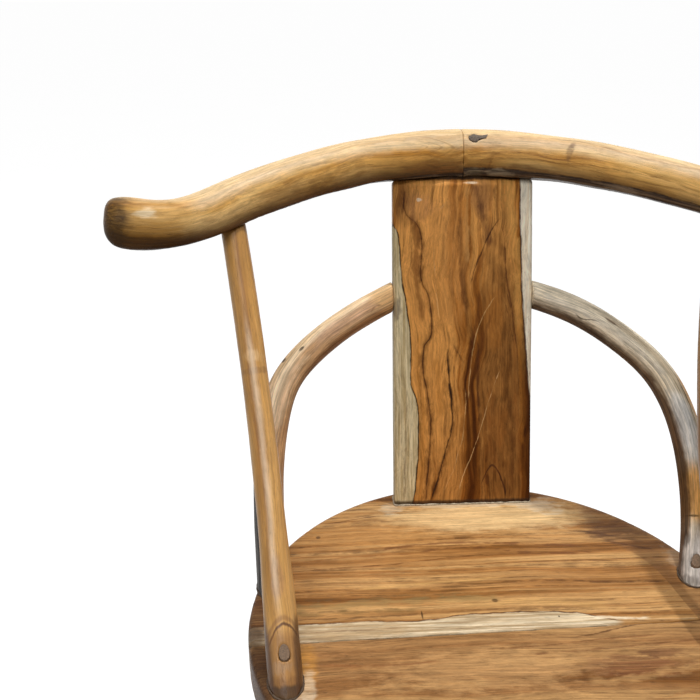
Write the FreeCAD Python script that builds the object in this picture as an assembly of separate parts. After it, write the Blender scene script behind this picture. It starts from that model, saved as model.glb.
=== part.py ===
import FreeCAD
import Part

import math
import os

# Horseshoe back armchair: round two-plank seat, leaning splat, crescent arm rail in two halves,
# two curved braces, two bowed arm posts, and a leg frame below.
# Millimetres, +Z up, the sitter faces -Y. The pieces are built about the centre of the seat and
# then moved together, so that the origin is on the floor under the middle of the whole chair.
# Left and right are those of someone who stands in front of the chair: left is -X, right is +X.

V = FreeCAD.Vector

# Fits that every joint shares
fit_clearance = 0.15
seat_gap = 0.2
socket_spare = 1.0
cut_overrun = 12.0

# Cross-sections along each bent branch
branch_stations = 14

# Seat: two wide planks glued edge to edge, with dowels across the seam
seat_height = 450.0
seat_diameter = 456.0
seat_thickness = 38.0
seat_top_round = 5.0
seat_bottom_round = 4.0
seam_offset = 20.5
seam_angle = 2.0
seam_dowel_diameter = 10.0
seam_dowel_length = 56.0
seam_dowel_spacing = 82.0
seam_dowel_end_margin = 40.0

# Splat: a flat board that leans back between seat and rail
splat_inset = 40.5
splat_width_bottom = 152.5
splat_width_top = 151.0
splat_thickness = 20.0
splat_length = 355.8
splat_edge_round = 2.5
back_lean = 16.0
splat_tenon_width = 112.0
splat_tenon_thickness = 7.0
splat_foot_tenon_depth = 24.0
splat_head_tenon_depth = 15.0

# Arm rail: two mirrored halves that meet at the centre of the back
rail_half_span = 328.0
rail_reach = 190.0
rail_fall = 26.5
rail_height = 53.0
rail_width = 46.0
rail_lean = 16.5
rail_set_back = 9.0
rail_dowel_diameter = 9.0
rail_dowel_length = 64.0
rail_dowel_rise = 15.0

# Centre line of a rail half from the back centre to the hand-hold, as shares of rail_half_span
# outward, rail_reach forward and rail_fall down
rail_path_shares = [
    (0.0, 0.0, 0.0),
    (0.124, 0.018, 0.004),
    (0.247, 0.088, 0.038),
    (0.353, 0.184, 0.09),
    (0.471, 0.321, 0.218),
    (0.570, 0.45, 0.38),
    (0.656, 0.568, 0.556),
    (0.715, 0.648, 0.71),
    (0.768, 0.732, 0.865),
    (0.820, 0.824, 0.97),
    (0.870, 0.908, 1.0),
    (0.917, 0.966, 0.962),
    (0.960, 0.996, 0.887),
    (1.0, 1.0, 0.812),
]
# Thickness of the rail at each of those places, as shares of rail_height and rail_width
rail_girth_shares = [
    (1.0, 1.0),
    (0.965, 1.0),
    (0.905, 0.98),
    (0.88, 0.96),
    (0.865, 0.94),
    (0.85, 0.93),
    (0.84, 0.92),
    (0.825, 0.91),
    (0.815, 0.90),
    (0.80, 0.90),
    (0.805, 0.91),
    (0.835, 0.94),
    (0.865, 0.96),
    (0.86, 0.95),
]
# The rounded end of the hand-hold, past the last place: steps in half rail widths, the girth left,
# and how far the narrowing sections climb, in half rail heights
hand_hold_end_shares = [
    (0.30, 0.93, 0.02),
    (0.54, 0.79, 0.07),
    (0.70, 0.58, 0.12),
    (0.78, 0.32, 0.15),
]
# Upper outline of the rail's cross-section from one arris to the other, as shares of its half
# width and half height. The underside between the two arrises is flat.
rail_section_shares = [
    (0.72, -1.0),
    (0.90, -0.70),
    (1.0, -0.12),
    (0.93, 0.40),
    (0.66, 0.80),
    (0.0, 1.0),
    (-0.66, 0.80),
    (-0.93, 0.40),
    (-1.0, -0.12),
    (-0.90, -0.70),
    (-0.72, -1.0),
]

# Filled knot on top of the right rail half
knot_distance = 16.0
knot_length = 21.0
knot_height = 9.5
knot_depth = 3.0
knot_turn = 52.0
knot_outline_shares = [
    (-0.5, 0.12),
    (-0.22, 0.5),
    (0.10, 0.22),
    (0.5, 0.34),
    (0.38, -0.12),
    (0.06, -0.16),
    (-0.12, -0.5),
    (-0.42, -0.30),
]

# Arm posts: bowed round bars from the sides of the seat up and back to the rail
post_rim_inset = 21.0
post_base_angle = 21.6
post_foot_diameter = 30.0
post_middle_diameter = 25.6
post_head_diameter = 24.6
post_foot_share = 0.18
post_slim_share = 0.34
post_run_on_share = 0.25
post_bow_back = 12.0
post_tenon_diameter = 14.0
post_tenon_depth = 16.0
# The two posts were bent by nature, so each has its own place on the rail, as a share of the
# rail half's length, and its own bow inward
right_post_rail_share = 0.726
right_post_bow = 10.0
left_post_rail_share = 0.730
left_post_bow = 4.0

# Braces: curved branches from the edges of the splat round and down to the rim of the seat
brace_rim_inset = 15.0
brace_base_angle = 13.8
brace_joint_height = 220.5
brace_head_diameter = 30.0
brace_middle_diameter = 31.5
brace_foot_diameter = 30.0
brace_middle_share = 0.5
brace_dowel_diameter = 8.0
brace_dowel_length = 44.0
# Centre lines from splat to seat: share of the way outward, and share of the height that is left.
# The two branches were cut from different wood and bend differently.
left_brace_shares = [
    (0.0, 1.0),
    (0.305, 0.926),
    (0.645, 0.815),
    (0.885, 0.69),
    (0.992, 0.535),
    (1.03, 0.35),
    (1.02, 0.17),
    (1.0, 0.0),
]
right_brace_shares = [
    (0.0, 1.0),
    (0.39, 0.926),
    (0.70, 0.826),
    (0.96, 0.70),
    (1.09, 0.56),
    (1.13, 0.40),
    (1.10, 0.20),
    (1.0, 0.0),
]

# Screws driven down through the feet of posts and braces, under round wooden plugs
foot_screw_diameter = 4.5
foot_screw_length = 42.0
foot_screw_head_diameter = 8.5
foot_plug_diameter = 9.0
foot_plug_length = 5.0
post_screw_setback = 6.0
brace_screw_setback = -2.5

# Legs: four tapered round legs, splayed, tenoned through two battens into the seat
leg_top_half_spacing = 104.0
leg_top_front = 112.0
leg_top_rear = 124.0
leg_foot_half_spacing = 150.0
leg_foot_front = 165.0
leg_foot_rear = 205.0
leg_foot_diameter = 30.0
leg_middle_diameter = 38.0
leg_top_diameter = 36.0
leg_tenon_diameter = 24.0
leg_tenon_depth_in_seat = 20.0
leg_foot_chamfer = 2.0
leg_belly_share = 0.6

# Battens: two cross bars screwed under the seat, across its planks
batten_width = 58.0
batten_thickness = 24.0
batten_overhang = 44.0
batten_end_bevel = 10.0
batten_screw_diameter = 4.5
batten_screw_length = 42.0
batten_screw_head_diameter = 9.0
batten_screw_spacing = 64.0
screw_slot_width = 1.2
screw_slot_depth = 1.0

# Stretchers: four round bars between the legs, lowest in front and highest at the back
front_stretcher_height = 120.0
side_stretcher_height = 165.0
rear_stretcher_height = 210.0
stretcher_middle_diameter = 24.0
stretcher_end_diameter = 19.0
stretcher_tenon_diameter = 14.0
stretcher_tenon_depth = 17.0

# Derived places
seat_radius = seat_diameter / 2
seat_underside = seat_height - seat_thickness
lean = math.radians(back_lean)
splat_direction = V(0, math.sin(lean), math.cos(lean))
splat_front = seat_radius - splat_inset
splat_axis_foot = V(0, splat_front + splat_thickness / math.cos(lean) / 2, seat_height)
splat_normal = V(0, math.cos(lean), -math.sin(lean))
rail_back_centre = (
    splat_axis_foot + splat_direction * (splat_length + rail_height / 2) + splat_normal * rail_set_back
)
up = V(0, 0, 1)


def unit(vector):
    """Return the vector at length one."""
    return vector / vector.Length


def mirrored(shape):
    """Return the shape's mirror image on the other side of the chair."""
    return shape.mirror(V(0, 0, 0), V(1, 0, 0))


def kept(shape):
    """Return the shape as it is, on its own side of the chair."""
    return shape


def placed(shape, origin, ahead, side):
    """Put a shape drawn on XY at origin, its Z along ahead and its X towards side."""
    z_axis = unit(ahead)
    y_axis = unit(z_axis.cross(side))
    x_axis = y_axis.cross(z_axis)
    matrix = FreeCAD.Matrix(
        x_axis.x, y_axis.x, z_axis.x, origin.x,
        x_axis.y, y_axis.y, z_axis.y, origin.y,
        x_axis.z, y_axis.z, z_axis.z, origin.z,
        0, 0, 0, 1,
    )
    moved = shape.copy()
    moved.Placement = FreeCAD.Placement(matrix)
    return moved


def rod(start, direction, length, diameter):
    """Round bar of one diameter."""
    return Part.makeCylinder(diameter / 2, length, start, unit(direction))


def box_between(low, high):
    """Box between two opposite corners."""
    size = high - low
    return Part.makeBox(size.x, size.y, size.z, low)


def prism_between(lower_points, upper_points):
    """Solid with straight sides between two outlines with as many corners."""
    lower = Part.makePolygon(lower_points + lower_points[:1])
    upper = Part.makePolygon(upper_points + upper_points[:1])
    return Part.makeLoft([lower, upper], True, True)


def largest(shape):
    """Return the largest solid of a shape that a cut has left in several."""
    return max(shape.Solids, key=lambda solid: solid.Volume)


def spline_through(points):
    """Smooth curve through the points."""
    curve = Part.BSplineCurve()
    curve.interpolate(points)
    return curve


def share_between(table, share):
    """Linear value at a share of the way in a table of (share, value)."""
    for (low, low_value), (high, high_value) in zip(table, table[1:]):
        if share <= high:
            return low_value + (high_value - low_value) * (share - low) / (high - low)
    return table[-1][1]


def branch(points, diameters):
    """Round bar along a curve, its diameter given at shares of its length."""
    curve = spline_through(points)
    first = curve.FirstParameter
    last = curve.LastParameter
    side = unit((points[-1] - points[0]).cross(V(0, 1, 0)))
    wires = []
    for index in range(branch_stations + 1):
        share = index / branch_stations
        parameter = first + (last - first) * share
        circle = Part.Wire(Part.makeCircle(share_between(diameters, share) / 2))
        wires.append(placed(circle, curve.value(parameter), curve.tangent(parameter)[0], side))
    return Part.makeLoft(wires, True, False)


# Seat

def seat_disc():
    """Whole round seat with rounded edges, before it is split at the seam."""
    disc = Part.makeCylinder(seat_radius, seat_thickness, V(0, 0, seat_underside))
    top_edges = [edge for edge in disc.Edges if edge.BoundBox.ZMin > seat_height - seat_thickness / 2]
    disc = disc.makeFillet(seat_top_round, [edge for edge in top_edges if edge.Closed])
    bottom_edges = [
        edge for edge in disc.Edges
        if edge.Closed and edge.BoundBox.ZMax < seat_underside + seat_bottom_round / 2
    ]
    return disc.makeFillet(seat_bottom_round, bottom_edges)


def along_seam(point):
    """Turn a point about the seat's centre so that X runs along the seam."""
    turn = FreeCAD.Rotation(up, seam_angle)
    return turn.multVec(point)


def behind_seam():
    """Block that holds all of the seat behind the seam."""
    reach = seat_diameter
    block = box_between(
        V(-reach, -seam_offset, seat_underside - cut_overrun),
        V(reach, reach, seat_height + cut_overrun),
    )
    block.rotate(V(0, 0, 0), up, seam_angle)
    return block


def seam_dowels(clearance=0.0, spare=0.0):
    """Dowels across the seam, or the holes for them."""
    half_seam = math.sqrt(seat_radius ** 2 - seam_offset ** 2) - seam_dowel_end_margin
    steps = int(half_seam / seam_dowel_spacing)
    length = seam_dowel_length + 2 * spare
    height = seat_underside + seat_thickness / 2
    direction = along_seam(V(0, 1, 0))
    dowels = []
    for step in range(-steps, steps + 1):
        middle = along_seam(V(step * seam_dowel_spacing, -seam_offset, height))
        start = middle - direction * (length / 2)
        dowels.append(rod(start, direction, length, seam_dowel_diameter + 2 * clearance))
    return dowels


# Splat

def splat_section(distance, width, thickness):
    """Corners of a level cut through the splat, a distance along it from the seat."""
    half_width = width / 2
    half_depth = thickness / math.cos(lean) / 2
    centre = splat_axis_foot + splat_direction * distance
    return [
        centre + V(-half_width, -half_depth, 0),
        centre + V(half_width, -half_depth, 0),
        centre + V(half_width, half_depth, 0),
        centre + V(-half_width, half_depth, 0),
    ]


def splat_width_at(distance):
    """Width of the splat at a distance along it from the seat."""
    return splat_width_bottom + (splat_width_top - splat_width_bottom) * distance / splat_length


def splat_board():
    """The splat's board, long enough to reach into the rail, with rounded long edges."""
    reach = splat_length + rail_height / 2
    board = prism_between(
        splat_section(0, splat_width_bottom, splat_thickness),
        splat_section(reach, splat_width_at(reach), splat_thickness),
    )
    rising = [edge for edge in board.Edges if edge.BoundBox.ZLength > splat_length / 2]
    return board.makeFillet(splat_edge_round, rising)


def splat_foot_tenon(clearance=0.0, spare=0.0):
    """Tenon under the splat, or its mortise in the seat."""
    width = splat_tenon_width + 2 * clearance
    thickness = splat_tenon_thickness + 2 * clearance
    return prism_between(
        splat_section(-splat_foot_tenon_depth - spare, width, thickness),
        splat_section(0, width, thickness),
    )


def splat_head_tenon(clearance=0.0, spare=0.0):
    """Tenon on top of the splat, or its mortise in the rail."""
    width = splat_tenon_width + 2 * clearance
    thickness = splat_tenon_thickness + 2 * clearance
    return prism_between(
        splat_section(splat_length - rail_height / 2, width, thickness),
        splat_section(splat_length + splat_head_tenon_depth + spare, width, thickness),
    )


# Rail

def rail_places():
    """Centre points of the right rail half, from the back centre to the hand-hold."""
    return [
        rail_back_centre + V(out * rail_half_span, -forward * rail_reach, -down * rail_fall)
        for out, forward, down in rail_path_shares
    ]


def rail_headings(places):
    """Direction of the rail at each place; it leaves the back centre square to the joint."""
    headings = [V(1, 0, 0)]
    for before, after in zip(places, places[2:]):
        headings.append(unit(after - before))
    headings.append(unit(places[-1] - places[-2]))
    return headings


def rail_frame(heading):
    """Outward and upward axes of the rail's cross-section, which leans outward all the way."""
    outward = unit(V(-heading.y, heading.x, 0))
    turn = FreeCAD.Rotation(heading, -rail_lean)
    outward = turn.multVec(outward)
    return outward, unit(heading.cross(outward))


def rail_section(centre, heading, height, width):
    """Closed outline of the rail at one place: flat underside, rounded sides and top."""
    outward, upward = rail_frame(heading)
    points = [
        centre + outward * (across * width / 2) + upward * (rise * height / 2)
        for across, rise in rail_section_shares
    ]
    count = len(points)
    curve = Part.BSplineCurve()
    curve.interpolate(Points=points, Parameters=[index / (count - 1) for index in range(count)])
    underside = Part.LineSegment(points[-1], points[0])
    return Part.Wire([underside.toShape(), curve.toShape()])


def rail_half():
    """Right half of the rail, solid and uncut."""
    places = rail_places()
    headings = rail_headings(places)
    wires = []
    for centre, heading, (tall, wide) in zip(places, headings, rail_girth_shares):
        wires.append(rail_section(centre, heading, tall * rail_height, wide * rail_width))
    tall, wide = rail_girth_shares[-1]
    upward = rail_frame(headings[-1])[1]
    for step, girth, climb in hand_hold_end_shares:
        centre = places[-1] + headings[-1] * (step * rail_width / 2) + upward * (climb * rail_height / 2)
        height = tall * girth * rail_height
        wires.append(rail_section(centre, headings[-1], height, wide * girth * rail_width))
    return Part.makeLoft(wires, True, False)


def rail_dowels(clearance=0.0, spare=0.0):
    """Two dowels across the joint between the rail halves, or their holes."""
    upward = rail_frame(V(1, 0, 0))[1]
    length = rail_dowel_length + 2 * spare
    dowels = []
    for rise in (0, rail_dowel_rise):
        start = rail_back_centre + upward * rise - V(length / 2, 0, 0)
        dowels.append(rod(start, V(1, 0, 0), length, rail_dowel_diameter + 2 * clearance))
    return dowels


def knot_block():
    """Irregular block that reaches out of the rail where the knot was filled."""
    upward = rail_frame(V(1, 0, 0))[1]
    turn = FreeCAD.Rotation(V(1, 0, 0), knot_turn)
    normal = turn.multVec(upward)
    start_radius = rail_width / 2 - knot_depth
    centre = rail_back_centre + V(knot_distance, 0, 0) + normal * start_radius
    corners = [V(along * knot_length, across * knot_height, 0) for along, across in knot_outline_shares]
    face = Part.Face(Part.makePolygon(corners + corners[:1]))
    return placed(face.extrude(V(0, 0, rail_height / 2)), centre, normal, V(1, 0, 0))


# Arm posts

def rim_point(inset, angle):
    """Point on the seat's top, an inset in from its rim, at an angle from the right-hand side."""
    radius = seat_radius - inset
    turn = math.radians(angle)
    return V(radius * math.cos(turn), radius * math.sin(turn), seat_height)


def post_head(rail_share):
    """Where a post's centre line meets the underside of the rail."""
    places = rail_places()
    curve = spline_through(places)
    parameter = curve.FirstParameter + (curve.LastParameter - curve.FirstParameter) * rail_share
    upward = rail_frame(curve.tangent(parameter)[0])[1]
    centre = curve.value(parameter)
    girths = [(place.x, tall) for place, (tall, wide) in zip(places, rail_girth_shares)]
    return centre - upward * (share_between(girths, centre.x) * rail_height / 2)


def post_points(rail_share, bow):
    """Centre line of a post, drawn on the right-hand side: foot, bowed middle and head."""
    foot = rim_point(post_rim_inset, -post_base_angle)
    head = post_head(rail_share)
    rise = unit(head - foot)
    inward = unit(V(-1, 0, 0) - rise * rise.dot(V(-1, 0, 0)))
    back = unit(inward.cross(rise))
    middle = (foot + head) / 2 + inward * bow + back * post_bow_back
    return [foot, middle, head]


def end_directions(points):
    """Directions in which the smooth line through the points runs out of its first and last."""
    curve = spline_through(points)
    return unit(curve.tangent(curve.FirstParameter)[0]) * -1, unit(curve.tangent(curve.LastParameter)[0])


def post_blank(points):
    """Post, longer than needed at both ends."""
    foot, middle, head = points
    foot_direction, head_direction = end_directions(points)
    route = [
        foot + foot_direction * post_foot_diameter,
        foot,
        middle,
        head,
        head + head_direction * (rail_height * post_run_on_share),
    ]
    diameters = [
        (0.0, post_foot_diameter),
        (post_foot_share, post_foot_diameter),
        (post_slim_share, post_middle_diameter),
        (1.0, post_head_diameter),
    ]
    return branch(route, diameters)


def post_tenon(points, clearance=0.0, spare=0.0):
    """Round tenon on top of a post, or its socket in the rail."""
    direction = end_directions(points)[1]
    start = points[-1] - direction * post_head_diameter
    length = post_head_diameter + post_tenon_depth + spare
    return rod(start, direction, length, post_tenon_diameter + 2 * clearance)


# Braces

def brace_ends():
    """Where the right brace's centre line meets the splat's edge and the seat."""
    distance = brace_joint_height / math.cos(lean)
    head = splat_axis_foot + splat_direction * distance + V(splat_width_at(distance) / 2, 0, 0)
    foot = rim_point(brace_rim_inset, brace_base_angle)
    return head, foot


def brace_points(shares):
    """Centre line of a brace, drawn on the right-hand side."""
    head, foot = brace_ends()
    slope = V(0, head.y - foot.y, head.z - foot.z)
    return [
        V(head.x + (foot.x - head.x) * outward, foot.y + slope.y * left, foot.z + slope.z * left)
        for outward, left in shares
    ]


def brace_blank(points):
    """Brace, longer than needed at both ends."""
    head_direction, foot_direction = end_directions(points)
    route = [points[0] + head_direction * brace_head_diameter] + points
    route = route + [points[-1] + foot_direction * brace_foot_diameter]
    diameters = [
        (0.0, brace_head_diameter),
        (brace_middle_share, brace_middle_diameter),
        (1.0, brace_foot_diameter),
    ]
    return branch(route, diameters)


def brace_dowel(clearance=0.0, spare=0.0):
    """Dowel between the splat's right edge and the brace, or its hole."""
    head = brace_ends()[0]
    length = brace_dowel_length + 2 * spare
    start = head - V(length / 2, 0, 0)
    return rod(start, V(1, 0, 0), length, brace_dowel_diameter + 2 * clearance)


def splat_side_block():
    """Block as wide as the splat, deep enough to trim a brace's end to the splat's edge."""
    reach = splat_length + rail_height
    depth = splat_thickness + 2 * (brace_head_diameter + cut_overrun)
    return prism_between(
        splat_section(0, splat_width_bottom + 2 * seat_gap, depth),
        splat_section(reach, splat_width_at(reach) + 2 * seat_gap, depth),
    )


# Screws and plugs

def screw(head_point, direction, diameter, length, head_diameter):
    """Countersunk wood screw with a slotted head; head_point is the middle of the head's face."""
    way = unit(direction)
    head_depth = (head_diameter - diameter) / 2
    head = Part.makeCone(head_diameter / 2, diameter / 2, head_depth, head_point, way)
    shank = rod(head_point, way, length, diameter)
    slot = Part.makeBox(
        head_diameter, screw_slot_width, screw_slot_depth,
        V(-head_diameter / 2, -screw_slot_width / 2, 0),
    )
    slot = placed(slot, head_point, way, V(0, 1, 0))
    return head.fuse(shank).removeSplitter().cut(slot)


def screw_hole(head_point, direction, diameter, length, head_diameter):
    """Hole that a screw fills, open above its head."""
    way = unit(direction)
    head_depth = (head_diameter - diameter) / 2
    wide = head_diameter + 2 * fit_clearance
    narrow = diameter + 2 * fit_clearance
    cone = Part.makeCone(wide / 2, narrow / 2, head_depth, head_point, way)
    return cone.fuse(rod(head_point, way, length + socket_spare, narrow))


def foot_fastening(foot, diameter, rise_direction, setback):
    """Screw, screw hole, plug rod and plug hole that run straight down through a slanted foot."""
    level = math.hypot(rise_direction.x, rise_direction.y)
    slope = rise_direction.z / level
    back = unit(V(rise_direction.x, rise_direction.y, 0))
    top = foot + back * setback + up * (slope * setback + diameter / 2 / level)
    down = up * -1
    head_point = top + down * (foot_plug_length + slope * foot_plug_diameter / 2)
    sizes = (foot_screw_diameter, foot_screw_length, foot_screw_head_diameter)
    plug = rod(head_point, up, diameter, foot_plug_diameter)
    plug_hole = rod(head_point, up, diameter, foot_plug_diameter + 2 * fit_clearance)
    return screw(head_point, down, *sizes), screw_hole(head_point, down, *sizes), plug, plug_hole


# Leg frame

def leg_ends(side, depth):
    """Points on a leg's axis at the floor and at the battens' underside."""
    shoulder_height = seat_underside - batten_thickness
    foot_y = leg_foot_rear if depth > 0 else leg_foot_front
    top_y = leg_top_rear if depth > 0 else leg_top_front
    foot = V(side * leg_foot_half_spacing, depth * foot_y, 0)
    top = V(side * leg_top_half_spacing, depth * top_y, shoulder_height)
    return foot, top


def leg_point(side, depth, height):
    """Point on a leg's axis at a height above the floor."""
    foot, top = leg_ends(side, depth)
    return foot + (top - foot) * (height / top.z)


def leg_blank(side, depth, growth=0.0):
    """Round leg with a slight belly, cut level at the floor and under the batten."""
    foot, top = leg_ends(side, depth)
    way = unit(top - foot)
    low = foot - way * leg_foot_diameter
    high = top + way * leg_top_diameter
    belly = foot + (top - foot) * leg_belly_share
    wires = []
    for place, diameter in (
        (low, leg_foot_diameter),
        (foot, leg_foot_diameter),
        (belly, leg_middle_diameter),
        (high, leg_top_diameter),
    ):
        circle = Part.Wire(Part.makeCircle(diameter / 2 + growth))
        wires.append(placed(circle, place, way, V(1, 0, 0)))
    bar = Part.makeLoft(wires, True, False)
    reach = leg_foot_half_spacing + leg_foot_rear + leg_foot_front
    room = box_between(V(-reach, -reach, 0), V(reach, reach, top.z))
    return bar.common(room)


def leg_tenon(side, depth, clearance=0.0, spare=0.0):
    """Round tenon on top of a leg, or its socket through batten and into the seat."""
    foot, top = leg_ends(side, depth)
    way = unit(top - foot)
    start = top - way * leg_tenon_diameter
    rise = (batten_thickness + leg_tenon_depth_in_seat) / way.z
    length = leg_tenon_diameter + rise + spare
    return rod(start, way, length, leg_tenon_diameter + 2 * clearance)


def batten_blank(side):
    """Bar under the seat, with bevelled ends."""
    bottom = seat_underside - batten_thickness
    front = -leg_top_front - batten_overhang
    rear = leg_top_rear + batten_overhang
    middle = side * leg_top_half_spacing
    outline = [
        V(middle - batten_width / 2, front, seat_underside),
        V(middle - batten_width / 2, front, bottom + batten_end_bevel),
        V(middle - batten_width / 2, front + batten_end_bevel, bottom),
        V(middle - batten_width / 2, rear - batten_end_bevel, bottom),
        V(middle - batten_width / 2, rear, bottom + batten_end_bevel),
        V(middle - batten_width / 2, rear, seat_underside),
    ]
    face = Part.Face(Part.makePolygon(outline + outline[:1]))
    return face.extrude(V(batten_width, 0, 0))


def batten_screw_args(side):
    """Head points and sizes of the screws through a batten into the seat."""
    middle = (leg_top_rear - leg_top_front) / 2
    bottom = seat_underside - batten_thickness
    return [
        (
            V(side * leg_top_half_spacing, middle + step * batten_screw_spacing, bottom),
            up,
            batten_screw_diameter,
            batten_screw_length,
            batten_screw_head_diameter,
        )
        for step in (-1, 0, 1)
    ]


def stretcher(start_leg, end_leg, height):
    """Round bar between two legs, thicker in the middle, with a round tenon in each leg."""
    start = leg_point(start_leg[0], start_leg[1], height)
    end = leg_point(end_leg[0], end_leg[1], height)
    way = unit(end - start)
    wires = []
    for place, diameter in (
        (start, stretcher_end_diameter),
        ((start + end) / 2, stretcher_middle_diameter),
        (end, stretcher_end_diameter),
    ):
        circle = Part.Wire(Part.makeCircle(diameter / 2))
        wires.append(placed(circle, place, way, up))
    bar = Part.makeLoft(wires, True, False)
    for leg in (start_leg, end_leg):
        bar = bar.cut(leg_blank(leg[0], leg[1], seat_gap))
    return largest(bar).fuse(stretcher_tenons(start_leg, end_leg, height)).removeSplitter()


def stretcher_tenons(start_leg, end_leg, height, clearance=0.0, spare=0.0):
    """The two round tenons of a stretcher, or their sockets in the legs."""
    start = leg_point(start_leg[0], start_leg[1], height)
    end = leg_point(end_leg[0], end_leg[1], height)
    way = unit(end - start)
    surface = leg_middle_diameter / 2
    inner = surface - stretcher_tenon_depth - spare
    length = stretcher_tenon_depth + spare + surface
    diameter = stretcher_tenon_diameter + 2 * clearance
    first = rod(start + way * inner, way, length, diameter)
    second = rod(end - way * inner, way * -1, length, diameter)
    return Part.Compound([first, second])


def rounded_foot(leg):
    """Break the sharp edge round the floor end of a leg."""
    floor_edges = [edge for edge in leg.Edges if edge.BoundBox.ZMax < leg_foot_chamfer / 2]
    return leg.makeChamfer(leg_foot_chamfer, floor_edges)


def build():
    """Make every piece of the chair and return them by name."""
    pieces = {}
    right_half = rail_half()
    left_half = mirrored(right_half)
    gaps = [splat_direction * -seat_gap, splat_normal * seat_gap, splat_normal * -seat_gap]
    rail_room = [half.translated(gap) for half in (left_half, right_half) for gap in gaps]

    # Splat, cut off under the rail, with its two tenons
    splat = largest(splat_board().cut(rail_room))
    splat = splat.fuse([splat_foot_tenon(), splat_head_tenon()]).removeSplitter()
    brace_dowel_hole = brace_dowel(fit_clearance, socket_spare)
    splat = splat.cut([brace_dowel_hole, mirrored(brace_dowel_hole)])
    pieces["splat"] = splat

    # Posts and braces, trimmed to the seat and to what they meet at the top
    seat_room = box_between(
        V(-seat_diameter, -seat_diameter, seat_height),
        V(seat_diameter, seat_diameter, seat_height * 2),
    )
    side_block = splat_side_block()
    screws = []
    plugs = []
    seat_cuts = []
    rail_sockets = []

    for name, rail_share, bow, side in (
        ("arm_post_right", right_post_rail_share, right_post_bow, kept),
        ("arm_post_left", left_post_rail_share, left_post_bow, mirrored),
    ):
        points = post_points(rail_share, bow)
        rise = end_directions(points)[0] * -1
        post = largest(post_blank(points).common(seat_room).cut(right_half.translated(gaps[0])))
        post = post.fuse(post_tenon(points)).removeSplitter()
        fastening = foot_fastening(points[0], post_foot_diameter, rise, post_screw_setback)
        post_screw, screw_room, plug, plug_room = fastening
        pieces[name] = side(post.cut([screw_room, plug_room]))
        screws.append(side(post_screw))
        plugs.append(side(plug.common(post)))
        seat_cuts.append(side(screw_room))
        rail_sockets.append(side(post_tenon(points, fit_clearance, socket_spare)))

    for name, shares, side in (
        ("brace_right", right_brace_shares, kept),
        ("brace_left", left_brace_shares, mirrored),
    ):
        points = brace_points(shares)
        rise = end_directions(points)[1] * -1
        brace = largest(brace_blank(points).common(seat_room).cut(side_block))
        fastening = foot_fastening(points[-1], brace_foot_diameter, rise, brace_screw_setback)
        brace_screw, screw_room, plug, plug_room = fastening
        pieces[name] = side(brace.cut([brace_dowel_hole, screw_room, plug_room]))
        screws.append(side(brace_screw))
        plugs.append(side(plug.common(brace)))
        seat_cuts.append(side(screw_room))
    pieces["brace_dowels"] = Part.Compound([brace_dowel(), mirrored(brace_dowel())])
    pieces["foot_screws"] = Part.Compound(screws)
    pieces["foot_plugs"] = Part.Compound(plugs)

    # Rail halves with mortise, sockets, dowel holes and the filled knot
    mortise = splat_head_tenon(fit_clearance, socket_spare)
    rail_cuts = [mortise] + rail_dowels(fit_clearance, socket_spare)
    pieces["rail_left"] = left_half.cut(rail_cuts + rail_sockets)
    right_cut = right_half.cut(rail_cuts + rail_sockets)
    block = knot_block()
    pieces["knot_filler"] = largest(right_cut.common(block))
    pieces["rail_right"] = right_cut.cut(block)
    pieces["rail_dowels"] = Part.Compound(rail_dowels())

    # Leg frame
    legs = [(side, depth) for depth in (-1, 1) for side in (-1, 1)]
    names = {(-1, -1): "front_left", (1, -1): "front_right", (-1, 1): "rear_left", (1, 1): "rear_right"}
    stretchers = {
        "stretcher_front": ((-1, -1), (1, -1), front_stretcher_height),
        "stretcher_left": ((-1, -1), (-1, 1), side_stretcher_height),
        "stretcher_right": ((1, -1), (1, 1), side_stretcher_height),
        "stretcher_rear": ((-1, 1), (1, 1), rear_stretcher_height),
    }
    for name, ends in stretchers.items():
        pieces[name] = stretcher(*ends)
    leg_sockets = {}
    for leg in legs:
        side, depth = leg
        sockets = [
            stretcher_tenons(*ends, clearance=fit_clearance, spare=socket_spare)
            for ends in stretchers.values() if leg in ends[:2]
        ]
        shape = rounded_foot(leg_blank(side, depth)).fuse(leg_tenon(side, depth)).removeSplitter()
        pieces["leg_" + names[leg]] = shape.cut(sockets)
        leg_sockets[leg] = leg_tenon(side, depth, fit_clearance, socket_spare)
    batten_screws = []
    for name, side in (("batten_left", -1), ("batten_right", 1)):
        holes = [screw_hole(*args) for args in batten_screw_args(side)]
        batten_screws += [screw(*args) for args in batten_screw_args(side)]
        seat_cuts += holes
        sockets = [leg_sockets[(side, depth)] for depth in (-1, 1)]
        pieces[name] = batten_blank(side).cut(holes + sockets)
    pieces["batten_screws"] = Part.Compound(batten_screws)

    # Seat planks, split at the seam
    seat_cuts.append(splat_foot_tenon(fit_clearance, socket_spare))
    seat_cuts += list(leg_sockets.values())
    seat_cuts += seam_dowels(fit_clearance, socket_spare)
    seat = seat_disc().cut(seat_cuts)
    pieces["seat_board_rear"] = seat.common(behind_seam())
    pieces["seat_board_front"] = seat.cut(behind_seam())
    pieces["seam_dowels"] = Part.Compound(seam_dowels())
    return pieces


def centred(pieces):
    """Move all pieces so that the origin is on the floor under the middle of their common box."""
    box = FreeCAD.BoundBox()
    for shape in pieces.values():
        box.add(shape.optimalBoundingBox(False))
    shift = V(-box.Center.x, -box.Center.y, -box.ZMin)
    return {name: shape.translated(shift) for name, shape in pieces.items()}


def save(pieces):
    """Write each piece to its own file."""
    os.makedirs("parts", exist_ok=True)
    for name, shape in pieces.items():
        shape.exportStep("parts/" + name + ".step")


save(centred(build()))
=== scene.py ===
"""Looks of the horseshoe back armchair: worked wood, putty and a plain studio round its frame."""

import logging
import math
from dataclasses import dataclass, replace
from enum import Enum
from functools import cache

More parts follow.
